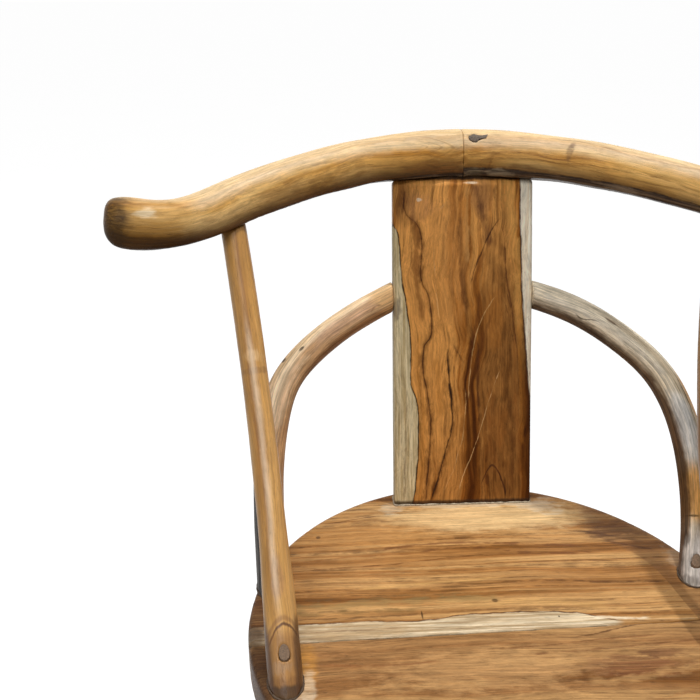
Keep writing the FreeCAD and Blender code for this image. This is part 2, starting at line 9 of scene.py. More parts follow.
import bmesh
import bpy
import numpy as np
from mathutils import Euler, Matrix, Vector


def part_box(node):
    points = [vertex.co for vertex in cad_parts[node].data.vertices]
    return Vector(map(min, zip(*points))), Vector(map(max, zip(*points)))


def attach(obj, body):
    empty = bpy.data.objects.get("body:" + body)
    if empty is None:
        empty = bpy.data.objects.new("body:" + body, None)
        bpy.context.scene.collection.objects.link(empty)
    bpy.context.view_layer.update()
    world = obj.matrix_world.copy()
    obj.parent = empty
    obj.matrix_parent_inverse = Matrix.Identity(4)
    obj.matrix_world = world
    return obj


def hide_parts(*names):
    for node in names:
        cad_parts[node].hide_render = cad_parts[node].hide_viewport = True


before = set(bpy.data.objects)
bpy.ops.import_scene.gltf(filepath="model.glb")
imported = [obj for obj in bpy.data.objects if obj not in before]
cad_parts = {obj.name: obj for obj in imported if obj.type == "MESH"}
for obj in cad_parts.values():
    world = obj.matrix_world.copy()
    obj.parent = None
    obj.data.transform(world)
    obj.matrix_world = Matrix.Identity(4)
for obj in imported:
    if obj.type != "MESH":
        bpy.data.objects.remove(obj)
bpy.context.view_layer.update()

LOG = logging.getLogger("armchair")

Colour = tuple[float, float, float]
Place = tuple[float, float]
Point = tuple[float, float, float]
Socket = bpy.types.NodeSocket

SEAT_TOP = 0.450
SEAT_RADIUS = 0.228
SEAT_CENTRE_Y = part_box("seat_board_front")[0].y + SEAT_RADIUS
BACK_LEAN = math.radians(16.0)
RAIL_LEAN = math.radians(16.5)
SPLAT_FOOT = Vector((0.0, 0.1437, SEAT_TOP))
WHITE = (1.0, 1.0, 1.0)
MERGE_DISTANCE = 1e-5
STRAIGHT_STEPS = 6

# Limits between which a noise turns a trait from its least to its most

THINNING = (0.35, 0.65)
BREAKS = (0.36, 0.58)
STREAKING = (0.38, 0.62)
RIM_BREAKS = (0.35, 0.55)
RING_BREAKS = (0.35, 0.60)
THREAD_BREAKS = (0.40, 0.60)
FIBRE_LIMITS = (0.30, 0.70)
MOTTLE_LIMITS = (0.32, 0.68)
PORE_LIMITS = (0.58, 0.70)
CLOUD_LIMITS = (0.35, 0.68)


def paint(red: int, green: int, blue: int) -> Colour:
    """Turn a colour as the eye reads it, 0 to 255, into the linear values that shaders take."""
    shares = (red / 255, green / 255, blue / 255)
    return tuple(s / 12.92 if s <= 0.04045 else ((s + 0.055) / 1.055) ** 2.4 for s in shares)


class Axis(Enum):
    """Side directions of the grain coordinates that every worked piece carries."""

    ACROSS = 0
    DEPTH = 1


# Node trees


class NodeGraph:
    """Node tree with short calls for the steps that finishes and shapes share."""

    def __init__(self, tree: bpy.types.NodeTree) -> None:
        """Take the tree that the nodes go to."""
        self.tree = tree

    def node(self, kind: str, inputs: dict, **settings: object) -> bpy.types.Node:
        """Add a node to the tree.

        Args:
            kind: Blender's name of the node type.
            inputs: sockets or plain values by input place or name.
            settings: the node's own options by name.

        Returns:
            The new node.
        """
        made = self.tree.nodes.new(kind)
        for key, value in settings.items():
            setattr(made, key, value)
        for key, value in inputs.items():
            if isinstance(value, Socket):
                self.tree.links.new(value, made.inputs[key])
            else:
                made.inputs[key].default_value = value
        return made

    def math(self, operation: str, first: object, second: object = 0.0, clamp: bool = False) -> Socket:
        """Return one arithmetic step on two numbers."""
        made = self.node("ShaderNodeMath", {0: first, 1: second}, operation=operation, use_clamp=clamp)
        return made.outputs[0]

    def plus(self, first: object, second: object) -> Socket:
        """Return the sum of two numbers."""
        return self.math("ADD", first, second)

    def less(self, first: object, second: object) -> Socket:
        """Return the first number less the second."""
        return self.math("SUBTRACT", first, second)

    def times(self, first: object, second: object) -> Socket:
        """Return the product of two numbers."""
        return self.math("MULTIPLY", first, second)

    def away(self, first: object, second: object) -> Socket:
        """Return how far two numbers lie apart."""
        return self.math("ABSOLUTE", self.less(first, second))

    def vector(self, operation: str, first: object, second: object) -> Socket:
        """Return one arithmetic step on two vectors."""
        return self.node("ShaderNodeVectorMath", {0: first, 1: second}, operation=operation).outputs[0]

    def scaled(self, vector: Socket, gain: Socket) -> Socket:
        """Return a vector or colour times a number."""
        return self.node("ShaderNodeVectorMath", {0: vector, "Scale": gain}, operation="SCALE").outputs[0]


class FinishGraph(NodeGraph):
    """Shader nodes of one material, or of the world."""

    def __init__(self, owner: bpy.types.Material | bpy.types.World) -> None:
        """Empty the owner's tree and work in it."""
        owner.use_nodes = True
        owner.node_tree.nodes.clear()
        super().__init__(owner.node_tree)
        self.owner = owner

    def length(self, vector: object) -> Socket:
        """Return the length of a vector."""
        return self.node("ShaderNodeVectorMath", {0: vector}, operation="LENGTH").outputs["Value"]

    def split(self, vector: Socket) -> tuple[Socket, Socket, Socket]:
        """Return the three numbers of a vector."""
        parts = self.node("ShaderNodeSeparateXYZ", {0: vector}).outputs
        return parts[0], parts[1], parts[2]

    def join(self, first: object, second: object, third: object) -> Socket:
        """Return a vector of three numbers."""
        return self.node("ShaderNodeCombineXYZ", {0: first, 1: second, 2: third}).outputs[0]

    def ease(self, value: Socket, low: object, high: object, start: float = 0.0, end: float = 1.0) -> Socket:
        """Return a soft step: start below low, end above high."""
        inputs = {0: value, 1: low, 2: high, 3: start, 4: end}
        return self.node("ShaderNodeMapRange", inputs, interpolation_type="SMOOTHSTEP").outputs[0]

    def noise(self, vector: Socket, repeats: Point, seed: float, detail: float = 3.0,
              rough: float = 0.55) -> bpy.types.Node:
        """Add cloudy noise.

        Args:
            vector: place to read it at, in metres.
            repeats: repeats per metre along each axis.
            seed: shift that sets one pattern apart from another.
            detail: octaves of finer noise.
            rough: how strong the finer octaves are.

        Returns:
            The noise node: output 0 is a number, output 1 three of them.
        """
        moved = self.node("ShaderNodeMapping", {0: vector, 1: (seed, seed * 0.7, seed * 1.3), 3: repeats})
        inputs = {"Vector": moved.outputs[0], "Scale": 1.0, "Detail": detail, "Roughness": rough}
        return self.node("ShaderNodeTexNoise", inputs)

    def mix(self, share: object, first: object, second: object) -> Socket:
        """Return a blend of two colours; a plain colour is given as three numbers."""
        sides = [side if isinstance(side, Socket) else (*side, 1.0) for side in (first, second)]
        return self.node("ShaderNodeMix", {0: share, 6: sides[0], 7: sides[1]}, data_type="RGBA").outputs[2]

    def ramp(self, value: Socket, stops: tuple[tuple[float, Colour], ...]) -> Socket:
        """Return a colour that runs through the given stops."""
        made = self.node("ShaderNodeValToRGB", {0: value})
        elements = made.color_ramp.elements
        while len(elements) < len(stops):
            elements.new(0.5)
        for element, (place, colour) in zip(elements, stops):
            element.position = place
            element.color = (*colour, 1.0)
        return made.outputs[0]

    def course(self, along: Socket, places: tuple[Place, ...], margin: float = 0.01) -> Socket:
        """Return where a line runs: the second number of each place, read by the first."""
        start, end = places[0][0], places[-1][0]
        low = min(side for _, side in places) - margin
        high = max(side for _, side in places) + margin
        share = self.node("ShaderNodeMapRange", {0: along, 1: start, 2: end, 3: 0.0, 4: 1.0})
        curve = self.node("ShaderNodeFloatCurve", {0: 1.0, 1: share.outputs[0]})
        points = curve.mapping.curves[0].points
        scaled = [((place - start) / (end - start), (side - low) / (high - low)) for place, side in places]
        points[0].location = scaled[0]
        points[-1].location = scaled[-1]
        for place in scaled[1:-1]:
            points.new(*place)
        curve.mapping.update()
        back = {0: curve.outputs[0], 1: 0.0, 2: 1.0, 3: low, 4: high}
        return self.node("ShaderNodeMapRange", back).outputs[0]

    def background(self, strength: float) -> Socket:
        """Return a white background of that strength."""
        return self.node("ShaderNodeBackground", {0: (*WHITE, 1.0), 1: strength}).outputs[0]

    def finish(self, colour: Socket, roughness: object, height: Socket, relief: float, gloss: float,
               metallic: float = 0.0) -> bpy.types.Material:
        """Close the tree with one surface.

        Args:
            colour: base colour.
            roughness: a number or a socket.
            height: relief from 0 to 1.
            relief: depth of that relief in metres.
            gloss: specular level, 0.5 for bare varnish.
            metallic: 1 for bare metal.

        Returns:
            The finished material.
        """
        bump = self.node("ShaderNodeBump", {"Height": height, "Distance": relief, "Strength": 1.0})
        inputs = {"Base Color": colour, "Roughness": roughness, "Normal": bump.outputs[0],
                  "Specular IOR Level": gloss, "Metallic": metallic}
        surface = self.node("ShaderNodeBsdfPrincipled", inputs)
        self.node("ShaderNodeOutputMaterial", {0: surface.outputs[0]})
        return self.owner


# Marks that are painted into a finish


class Ground:
    """Grain coordinates of a piece and the noises that its figure and marks share."""

    CHIP_REPEATS = (130, 130, 55)
    STREAK_REPEATS = (480, 480, 13)

    def __init__(self, graph: FinishGraph) -> None:
        """Read the grain coordinates and add the shared noises."""
        self.graph = graph
        self.grain = graph.node("ShaderNodeAttribute", {}, attribute_name="grain").outputs["Vector"]
        self.across, self.depth, self.along = graph.split(self.grain)
        chips = graph.noise(self.grain, self.CHIP_REPEATS, 3.0, 4.0, 0.6).outputs[1]
        self.sway, self.gaps, self.edge = graph.split(chips)
        self.streak = graph.noise(self.grain, self.STREAK_REPEATS, 2.0, 4.0, 0.6).outputs[0]

    def side(self, axis: Axis) -> Socket:
        """Return the grain coordinate of a side direction."""
        return (self.across, self.depth)[axis.value]

    def swaying(self, value: Socket, reach: float) -> Socket:
        """Return a coordinate that wavers by about that reach in metres."""
        graph = self.graph
        return graph.plus(value, graph.times(graph.less(self.sway, 0.5), reach * 3))

    def stretch(self, first: float, last: float, taper: float) -> Socket:
        """Return 1 between two places along the grain and 0 beyond them."""
        opening = self.graph.ease(self.along, first, first + taper)
        return self.graph.times(opening, self.graph.ease(self.along, last - taper, last, 1.0, 0.0))


@dataclass(frozen=True)
class Line:
    """Thin or broad line along the grain.

    Its places are (along, across) in metres, and a soft line has an even width.
    """

    places: tuple[Place, ...]
    half_width: float
    colour: Colour
    strength: float = 0.8
    broken: float = 0.5
    waver: float = 0.0012
    taper: float = 0.008
    axis: Axis = Axis.ACROSS
    soft: bool = False

    def apply(self, ground: Ground, colour: Socket) -> Socket:
        """Return the colour with the line painted over it."""
        graph = ground.graph
        place = ground.swaying(ground.side(self.axis), self.waver)
        away = graph.away(place, graph.course(ground.along, self.places))
        narrow, wide = (1.1, 1.3) if self.soft else (0.6, 1.8)
        width = graph.ease(ground.gaps, *THINNING, self.half_width * narrow, self.half_width * wide)
        mask = graph.ease(away, 0.0, width, 1.0, 0.0)
        mask = graph.times(mask, ground.stretch(self.places[0][0], self.places[-1][0], self.taper))
        kept = graph.ease(ground.gaps, *BREAKS, 1.0 - self.broken, 1.0)
        mask = graph.times(graph.times(mask, kept), self.strength)
        return graph.mix(mask, colour, self.colour)


@dataclass(frozen=True)
class Side:
    """Wood of another colour beyond a line along the grain, such as sapwood at a board's edge."""

    places: tuple[Place, ...]
    direction: int
    pale: Colour
    deep: Colour
    rim: Colour | None = None
    rim_width: float = 0.0009
    softness: float = 0.0006
    strength: float = 1.0
    ragged: float = 0.0010
    axis: Axis = Axis.ACROSS
    limits: Place | None = None
    limit_taper: float = 0.012

    def apply(self, ground: Ground, colour: Socket) -> Socket:
        """Return the colour with the other wood beyond the line."""
        graph = ground.graph
        place = ground.swaying(ground.side(self.axis), self.ragged)
        past = graph.less(place, graph.course(ground.along, self.places))
        past = graph.times(past, float(self.direction))
        mask = graph.ease(past, -self.softness, self.softness)
        rim = graph.ease(graph.math("ABSOLUTE", past), self.rim_width * 0.4, self.rim_width * 1.4, 0.9, 0.0)
        if self.limits is not None:
            held = ground.stretch(*self.limits, self.limit_taper)
            mask = graph.times(mask, held)
            rim = graph.times(rim, held)
        other = graph.mix(graph.ease(ground.streak, *STREAKING), self.deep, self.pale)
        colour = graph.mix(graph.times(mask, self.strength), colour, other)
        if self.rim is None:
            return colour
        rim = graph.times(rim, graph.ease(ground.gaps, *RIM_BREAKS, 0.45, 1.0))
        return graph.mix(rim, colour, self.rim)


@dataclass(frozen=True)
class Patch:
    """Cloudy patch round one place: centre and radii are (across, depth, along) in metres."""

    centre: Point
    radii: Point
    colour: Colour
    strength: float = 0.7
    ragged: float = 0.5

    def apply(self, ground: Ground, colour: Socket) -> Socket:
        """Return the colour with the patch painted over it."""
        graph = ground.graph
        shares = tuple(1 / radius for radius in self.radii)
        offset = graph.vector("SUBTRACT", ground.grain, self.centre)
        away = graph.length(graph.vector("MULTIPLY", offset, shares))
        worn = graph.times(graph.less(ground.edge, 0.5), self.ragged * 3)
        mask = graph.ease(graph.plus(away, worn), 0.5, 1.1, self.strength, 0.0)
        kept = graph.ease(ground.streak, *BREAKS, 1.0 - self.ragged * 0.8, 1.0)
        return graph.mix(graph.times(mask, kept), colour, self.colour)


@dataclass(frozen=True)
class Arch:
    """Arched growth line: it peaks at (along, across) and runs back along the grain on both sides."""

    peak: Place
    spread: float
    fall: float
    half_width: float
    colour: Colour
    strength: float = 0.7
    axis: Axis = Axis.ACROSS
    face: int = 1
    bend: float = 1.7
    waver: float = 0.0015
    face_taper: float = 0.004

    def apply(self, ground: Ground, colour: Socket) -> Socket:
        """Return the colour with the arch painted over it."""
        graph = ground.graph
        off = graph.math("DIVIDE", graph.away(ground.side(self.axis), self.peak[1]), self.spread)
        line = graph.less(self.peak[0], graph.times(graph.math("POWER", off, self.bend), self.fall))
        away = graph.away(ground.swaying(ground.along, self.waver), line)
        mask = graph.ease(away, self.half_width * 0.3, self.half_width * 1.7, self.strength, 0.0)
        mask = graph.times(mask, graph.ease(off, 0.9, 1.3, 1.0, 0.0))
        other = Axis.DEPTH if self.axis is Axis.ACROSS else Axis.ACROSS
        seen = graph.times(ground.side(other), float(self.face))
        return graph.mix(graph.times(mask, graph.ease(seen, 0.0, self.face_taper)), colour, self.colour)


@dataclass(frozen=True)
class Band:
    """Band round a piece between two places along the grain, with soft ends."""

    first: float
    last: float
    colour: Colour
    strength: float = 0.9
    taper: float = 0.0015
    ragged: float = 0.0008

    def apply(self, ground: Ground, colour: Socket) -> Socket:
        """Return the colour with the band painted over it."""
        graph = ground.graph
        place = ground.swaying(ground.along, self.ragged)
        opening = graph.ease(place, self.first - self.taper, self.first + self.taper)
        closing = graph.ease(place, self.last - self.taper, self.last + self.taper, 1.0, 0.0)
        return graph.mix(graph.times(graph.times(opening, closing), self.strength), colour, self.colour)


Mark = Line | Side | Patch | Arch | Band


# Finishes


@dataclass(frozen=True)
class WoodFinish:
    """Oiled wood whose figure follows the grain coordinates of the piece.

    Lengths are in metres and repeats per metre. The seed sets one piece's figure apart from
    another's, and the other numbers are shares.
    """

    name: str
    light: Colour
    middle: Colour
    dark: Colour
    line: Colour
    figure: float = 0.011
    wander: float = 0.012
    run: float = 0.16
    slant: float = 0.35
    streaks: float = 0.55
    threads: float = 0.30
    balance: float = 0.48
    contrast: float = 0.12
    fibre: float = 0.22
    mottle: float = 0.16
    clouds: float = 0.35
    pore: float = 0.22
    rough_low: float = 0.34
    rough_high: float = 0.50
    relief: float = 0.00022
    gloss: float = 0.07
    seed: float = 0.0
    wander_repeats: float = 9.0
    fibre_repeats: Point = (560, 560, 11)
    mottle_repeats: Point = (200, 200, 34)
    pore_repeats: Point = (1500, 1500, 110)
    cloud_repeats: Point = (16, 16, 6)
    ring_depth_share: float = 0.15
    ring_along_share: float = 0.03
    fibre_height: float = 0.6
    pore_height: float = 0.5
    ring_height: float = 0.3
    marks: tuple[Mark, ...] = ()

    @cache
    def material(self) -> bpy.types.Material:
        """Return the material of this wood, built once."""
        graph = FinishGraph(bpy.data.materials.new(self.name))
        ground = Ground(graph)
        warped = self.warped(ground)
        bands, ridge, threads = self.rings(ground, warped)
        fibres = graph.noise(warped, self.fibre_repeats, self.seed + 1.0, 4.0, 0.62).outputs[0]
        mottles = graph.noise(warped, self.mottle_repeats, self.seed + 3.0, 5.0, 0.72).outputs[0]
        pores = graph.noise(warped, self.pore_repeats, self.seed + 6.0, 2.0, 0.5).outputs[0]
        pores = graph.ease(pores, *PORE_LIMITS)
        clouds = graph.noise(ground.grain, self.cloud_repeats, self.seed + 8.0, 3.0, 0.55).outputs[0]

        # Growth rings first, then the marks, and the fibres over all
        colour = graph.ramp(bands, (
            (self.balance - self.contrast, self.dark),
            (self.balance, self.middle),
            (self.balance + self.contrast, self.light),
        ))
        colour = graph.mix(graph.ease(clouds, *CLOUD_LIMITS, 0.0, self.clouds), colour, self.middle)
        colour = graph.mix(graph.times(ridge, self.streaks), colour, self.line)
        colour = graph.mix(threads, colour, self.line)
        for mark in self.marks:
            colour = mark.apply(ground, colour)
        gain = graph.ease(fibres, *FIBRE_LIMITS, 1.0 - self.fibre, 1.0 + self.fibre)
        spots = graph.ease(mottles, *MOTTLE_LIMITS, 1.0 - self.mottle, 1.0 + self.mottle)
        gain = graph.times(graph.times(gain, spots), graph.ease(pores, 0.0, 1.0, 1.0, 1.0 - self.pore))
        colour = graph.scaled(colour, gain)

        height = graph.less(graph.times(fibres, self.fibre_height), graph.times(pores, self.pore_height))
        height = graph.less(height, graph.times(ridge, self.ring_height))
        roughness = graph.ease(fibres, *FIBRE_LIMITS, self.rough_high, self.rough_low)
        return graph.finish(colour, roughness, height, self.relief, self.gloss)

    def warped(self, ground: Ground) -> Socket:
        """Return grain coordinates that wander slowly from side to side."""
        graph = ground.graph
        repeats = (self.wander_repeats, self.wander_repeats, 1 / self.run)
        bends = graph.noise(ground.grain, repeats, self.seed, 2.0, 0.5).outputs[1]
        bends = graph.vector("SUBTRACT", bends, (0.5, 0.5, 0.5))
        reach = (self.wander * 2, self.wander * 2, 0.0)
        return graph.vector("ADD", ground.grain, graph.vector("MULTIPLY", bends, reach))

    def rings(self, ground: Ground, warped: Socket) -> tuple[Socket, Socket, Socket]:
        """Return broad bands, and two sets of thin lines where a noise crosses its middle."""
        graph = ground.graph
        across, depth, along = graph.split(warped)
        ring = graph.plus(across, graph.times(depth, self.slant))
        deep = graph.times(depth, self.ring_depth_share)
        rings = graph.join(ring, deep, graph.times(along, self.ring_along_share))
        step = 1 / self.figure
        bands = graph.noise(rings, (step, step, step), self.seed + 4.0, 3.0, 0.5).outputs[0]
        ridge = graph.noise(rings, (step * 1.7, step, step), self.seed + 9.0, 3.0, 0.5).outputs[0]
        ridge = graph.ease(graph.away(ridge, 0.5), 0.0, 0.05, 1.0, 0.0)
        ridge = graph.times(ridge, graph.ease(ground.gaps, *RING_BREAKS))
        threads = graph.noise(rings, (step * 6, step * 3, step), self.seed + 15.0, 2.0, 0.5).outputs[0]
        threads = graph.ease(graph.away(threads, 0.5), 0.0, 0.07, self.threads, 0.0)
        threads = graph.times(threads, graph.ease(ground.edge, *THREAD_BREAKS, 0.2, 1.0))
        return bands, ridge, threads


@dataclass(frozen=True)
class PlainFinish:
    """Small or hidden piece: a base colour with grains and spots in object coordinates."""

    name: str
    base: Colour
    spots: Colour
    grain_repeats: Point = (400, 400, 400)
    roughness: float = 0.6
    metallic: float = 0.0
    relief: float = 0.0002
    gloss: float = 0.3
    spot_repeats: Point = (60, 60, 60)

    @cache
    def material(self) -> bpy.types.Material:
        """Return the material, built once."""
        graph = FinishGraph(bpy.data.materials.new(self.name))
        place = graph.node("ShaderNodeTexCoord", {}).outputs["Object"]
        fine = graph.noise(place, self.grain_repeats, 1.0, 4.0, 0.6).outputs[0]
        broad = graph.noise(place, self.spot_repeats, 2.0, 2.0, 0.5).outputs[0]
        colour = graph.mix(graph.ease(fine, 0.35, 0.65, 0.0, 0.8), self.base, self.spots)
        colour = graph.mix(graph.ease(broad, 0.35, 0.7, 0.0, 0.4), colour, self.base)
        roughness = graph.ease(fine, 0.3, 0.7, self.roughness, self.roughness * 0.8)
        return graph.finish(colour, roughness, fine, self.relief, self.gloss, self.metallic)


# Grain coordinates


@dataclass(frozen=True)
class GrainPath:
    """Centre line of a piece, from which its grain coordinates are read.

    The depth grows towards facing. The measure along the line starts at first, and lean turns
    the coordinates round the line. Each stretch between two points is read in that many steps.
    """

    points: tuple[Point, ...]
    facing: Point
    mirrored: bool = False
    first: float = 0.0
    lean: float = 0.0
    steps: int = 24

    def samples(self) -> tuple[np.ndarray, np.ndarray, np.ndarray]:
        """Return places along the smooth line, their directions and their distances from its start."""
        route = np.array(self.points, float)
        ends = np.vstack([2 * route[0] - route[1], route, 2 * route[-1] - route[-2]])
        places = []
        for index in range(1, len(ends) - 2):
            before, start, end, after = ends[index - 1:index + 3]
            share = np.linspace(0, 1, self.steps, endpoint=False)[:, None]
            curve = (
                2 * start
                + (end - before) * share
                + (2 * before - 5 * start + 4 * end - after) * share ** 2
                + (3 * start - before - 3 * end + after) * share ** 3
            )
            places.append(curve / 2)
        places = np.vstack([*places, route[-1:]])
        steps = np.diff(places, axis=0)
        lengths = np.linalg.norm(steps, axis=1)
        directions = np.vstack([steps, steps[-1:]]) / np.append(lengths, lengths[-1])[:, None]
        return places, directions, np.append(0.0, np.cumsum(lengths)) + self.first

    def read(self, places: np.ndarray) -> np.ndarray:
        """Return the grain coordinates (across, depth, along) of places, in metres."""
        centres, directions, distances = self.samples()
        away = ((places[:, None, :] - centres[None, :, :]) ** 2).sum(axis=2)
        nearest = away.argmin(axis=1)
        centre, ahead = centres[nearest], directions[nearest]
        facing = np.array(self.facing, float)[None, :]
        upright = facing - (facing * ahead).sum(axis=1, keepdims=True) * ahead
        upright /= np.linalg.norm(upright, axis=1, keepdims=True)
        aside = np.cross(ahead, upright)
        if self.mirrored:
            aside = -aside
        depth = upright * math.cos(self.lean) + aside * math.sin(self.lean)
        across = aside * math.cos(self.lean) - upright * math.sin(self.lean)
        offset = places - centre
        along = distances[nearest] + (offset * ahead).sum(axis=1)
        return np.stack([(offset * across).sum(axis=1), (offset * depth).sum(axis=1), along], axis=1)


# Worked surfaces


class GeometryGraph(NodeGraph):
    """Geometry nodes tree with named inputs, which ends with its material set."""

    def __init__(self, name: str, numbers: tuple[str, ...]) -> None:
        """Start a tree.

        Args:
            name: name of the tree.
            numbers: names of its number inputs, among them Seed.
        """
        super().__init__(bpy.data.node_groups.new(name, "GeometryNodeTree"))
        face = self.tree.interface
        face.new_socket("Geometry", in_out="INPUT", socket_type="NodeSocketGeometry")
        self.inputs = {
            number: face.new_socket(number, in_out="INPUT", socket_type="NodeSocketFloat").identifier
            for number in numbers
        }
        dress = face.new_socket("Material", in_out="INPUT", socket_type="NodeSocketMaterial")
        self.inputs["Material"] = dress.identifier
        face.new_socket("Geometry", in_out="OUTPUT", socket_type="NodeSocketGeometry")
        self.start = self.node("NodeGroupInput", {}).outputs

    def noise(self, place: Socket, repeats: object, detail: float) -> Socket:
        """Return cloudy noise that the tree's own seed sets apart from piece to piece."""
        inputs = {"Vector": place, "W": self.start["Seed"], "Scale": repeats, "Detail": detail}
        return self.node("ShaderNodeTexNoise", inputs, noise_dimensions="4D").outputs[0]

    def close(self, geometry: Socket) -> None:
        """Realize the geometry, set its material, and end the tree."""
        smooth = self.node("GeometryNodeSetShadeSmooth", {"Geometry": geometry}).outputs[0]
        whole = self.node("GeometryNodeRealizeInstances", {"Geometry": smooth}).outputs[0]
        dress = {"Geometry": whole, "Material": self.start["Material"]}
        self.node("NodeGroupOutput", {0: self.node("GeometryNodeSetMaterial", dress).outputs[0]})

    def run(self, piece: bpy.types.Object, values: dict) -> None:
        """Run the tree on a piece and keep the result as its plain mesh.

        Args:
            piece: the object that the tree starts from.
            values: sizes and the material by input name.
        """
        modifier = piece.modifiers.new(self.tree.name, "NODES")
        modifier.node_group = self.tree
        for name, value in values.items():
            modifier[self.inputs[name]] = value
        piece.data.materials.clear()
        settle(piece)


@dataclass(frozen=True)
class WorkedSurface:
    """Slight waves of hand-worked wood along the grain, and a rougher face where one is left."""

    along_share: float = 0.35
    wave_detail: float = 1.5
    wave_middle: float = 0.62
    rough_repeats: float = 260.0
    rough_detail: float = 3.0
    rough_middle: float = 0.70

    @cache
    def graph(self) -> GeometryGraph:
        """Return the tree, built once; every piece uses it with its own sizes."""
        graph = GeometryGraph("worked_surface", ("Wave Depth", "Wave Length", "Rough Depth", "Seed"))
        start = graph.start
        grain = self.attribute(graph, "grain", "FLOAT_VECTOR")
        rough = self.attribute(graph, "rough", "FLOAT")
        flat = graph.vector("MULTIPLY", grain, (1.0, 1.0, self.along_share))
        slow = graph.noise(flat, graph.math("DIVIDE", 1.0, start["Wave Length"]), self.wave_detail)
        fine = graph.noise(grain, self.rough_repeats, self.rough_detail)
        slow = graph.times(graph.less(slow, self.wave_middle), start["Wave Depth"])
        fine = graph.times(graph.less(fine, self.rough_middle), graph.times(rough, start["Rough Depth"]))
        normal = graph.node("GeometryNodeInputNormal", {}).outputs[0]
        offset = graph.scaled(normal, graph.plus(slow, fine))
        moved = graph.node("GeometryNodeSetPosition", {"Geometry": start["Geometry"], "Offset": offset})
        graph.close(moved.outputs[0])
        return graph

    def attribute(self, graph: GeometryGraph, name: str, kind: str) -> Socket:
        """Return a value that each vertex of the piece carries."""
        return graph.node("GeometryNodeInputNamedAttribute", {0: name}, data_type=kind).outputs[0]


def settle(piece: bpy.types.Object) -> None:
    """Turn what a piece's modifiers make of it into its plain mesh, and remove them."""
    bpy.context.view_layer.update()
    solved = piece.evaluated_get(bpy.context.evaluated_depsgraph_get())
    mesh = bpy.data.meshes.new_from_object(solved)
    piece.modifiers.clear()
    old = piece.data
    piece.data = mesh
    bpy.data.meshes.remove(old)
    mesh.name = piece.name


def linked(name: str, data: bpy.types.ID) -> bpy.types.Object:
    """Return a new object of the scene that holds a mesh, lamp or camera."""
    made = bpy.data.objects.new(name, data)
    bpy.context.scene.collection.objects.link(made)
    return made


def merged_shell(node: str) -> bmesh.types.BMesh:
    """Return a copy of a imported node's shape with its loose triangles merged."""
    shell = bmesh.new()
    shell.from_mesh(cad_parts[node].data)
    bmesh.ops.remove_doubles(shell, verts=shell.verts, dist=MERGE_DISTANCE)
    return shell


def filled_mesh(name: str, shell: bmesh.types.BMesh) -> bpy.types.Mesh:
    """Return a mesh that holds a shell's shape, and free the shell."""
    mesh = bpy.data.meshes.new(name)
    shell.to_mesh(mesh)
    shell.free()
    return mesh


def remeshed(node: str, name: str, voxel: float, smoothing: int) -> bpy.types.Object:
    """Copy a node's closed shape into an even mesh with slightly eased edges.

    Args:
        node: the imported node.
        name: name of the new piece.
        voxel: size of the mesh's faces in metres.
        smoothing: rounds of smoothing.

    Returns:
        The new object, linked to the scene.
    """
    piece = linked(name, filled_mesh(name, merged_shell(node)))
    even = piece.modifiers.new("even", "REMESH")
    even.mode = "VOXEL"
    even.voxel_size = voxel
    ease = piece.modifiers.new("ease", "SMOOTH")
    ease.factor = 0.5
    ease.iterations = smoothing
    settle(piece)
    return piece


def coordinates(mesh: bpy.types.Mesh) -> np.ndarray:
    """Return the places of a mesh's vertices, one row each."""
    flat = np.zeros(len(mesh.vertices) * 3)
    mesh.vertices.foreach_get("co", flat)
    return flat.reshape(-1, 3)


def store(mesh: bpy.types.Mesh, name: str, values: np.ndarray, kind: str, key: str) -> None:
    """Write one value for each vertex of a mesh as a named attribute.

    Args:
        mesh: the mesh that carries it.
        name: name of the attribute.
        values: one row or number for each vertex.
        kind: Blender's name of the attribute's type.
        key: the value's name within the attribute.
    """
    attribute = mesh.attributes.new(name, kind, "POINT")
    attribute.data.foreach_set(key, values.astype(np.float32).ravel())


@dataclass(frozen=True)
class Dent:
    """Small chip or hollow: centre and radii in grain coordinates, direction in the frame's."""

    centre: Point
    radii: Point
    depth: float
    direction: Point
    fullness: float = 0.7

    def pressed(self, places: np.ndarray, grain: np.ndarray) -> np.ndarray:
        """Return the places of a piece's vertices after the dent is pressed in."""
        away = np.linalg.norm((grain - np.array(self.centre)) / np.array(self.radii), axis=1)
        share = np.clip(1 - away, 0, 1) ** self.fullness
        return places + share[:, None] * self.depth * np.array(self.direction)


@dataclass
class WoodPiece:
    """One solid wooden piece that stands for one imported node."""

    node: str
    path: GrainPath
    finish: WoodFinish
    slot: str
    voxel: float
    wave_depth: float
    wave_length: float
    seed: float
    smoothing: int = 3
    rough_depth: float = 0.0008
    rough_share: float = 0.15
    rough_below: float | None = None
    dents: tuple[Dent, ...] = ()

    def make(self, surface: WorkedSurface) -> bpy.types.Object:
        """Build the piece, dress it and let it ride on the frame."""
        piece = remeshed(self.node, self.node + "_wood", self.voxel, self.smoothing)
        places = coordinates(piece.data)
        grain = self.path.read(places)
        for dent in self.dents:
            places = dent.pressed(places, grain)
        piece.data.vertices.foreach_set("co", places.ravel())
        rough = np.full(len(places), self.rough_share)
        if self.rough_below is not None:
            rough = np.where(grain[:, 1] < self.rough_below, 1.0, rough)
        store(piece.data, "grain", grain, "FLOAT_VECTOR", "vector")
        store(piece.data, "rough", rough, "FLOAT", "value")
        surface.graph().run(piece, {
            "Wave Depth": self.wave_depth,
            "Wave Length": self.wave_length,
            "Rough Depth": self.rough_depth,
            "Seed": self.seed,
            "Material": self.finish.material(),
        })
        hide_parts(self.node)
        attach(piece, "root")
        LOG.info("%s: %d faces", piece.name, len(piece.data.polygons))
        return piece


# Palette: marks that the photograph shows, piece by piece

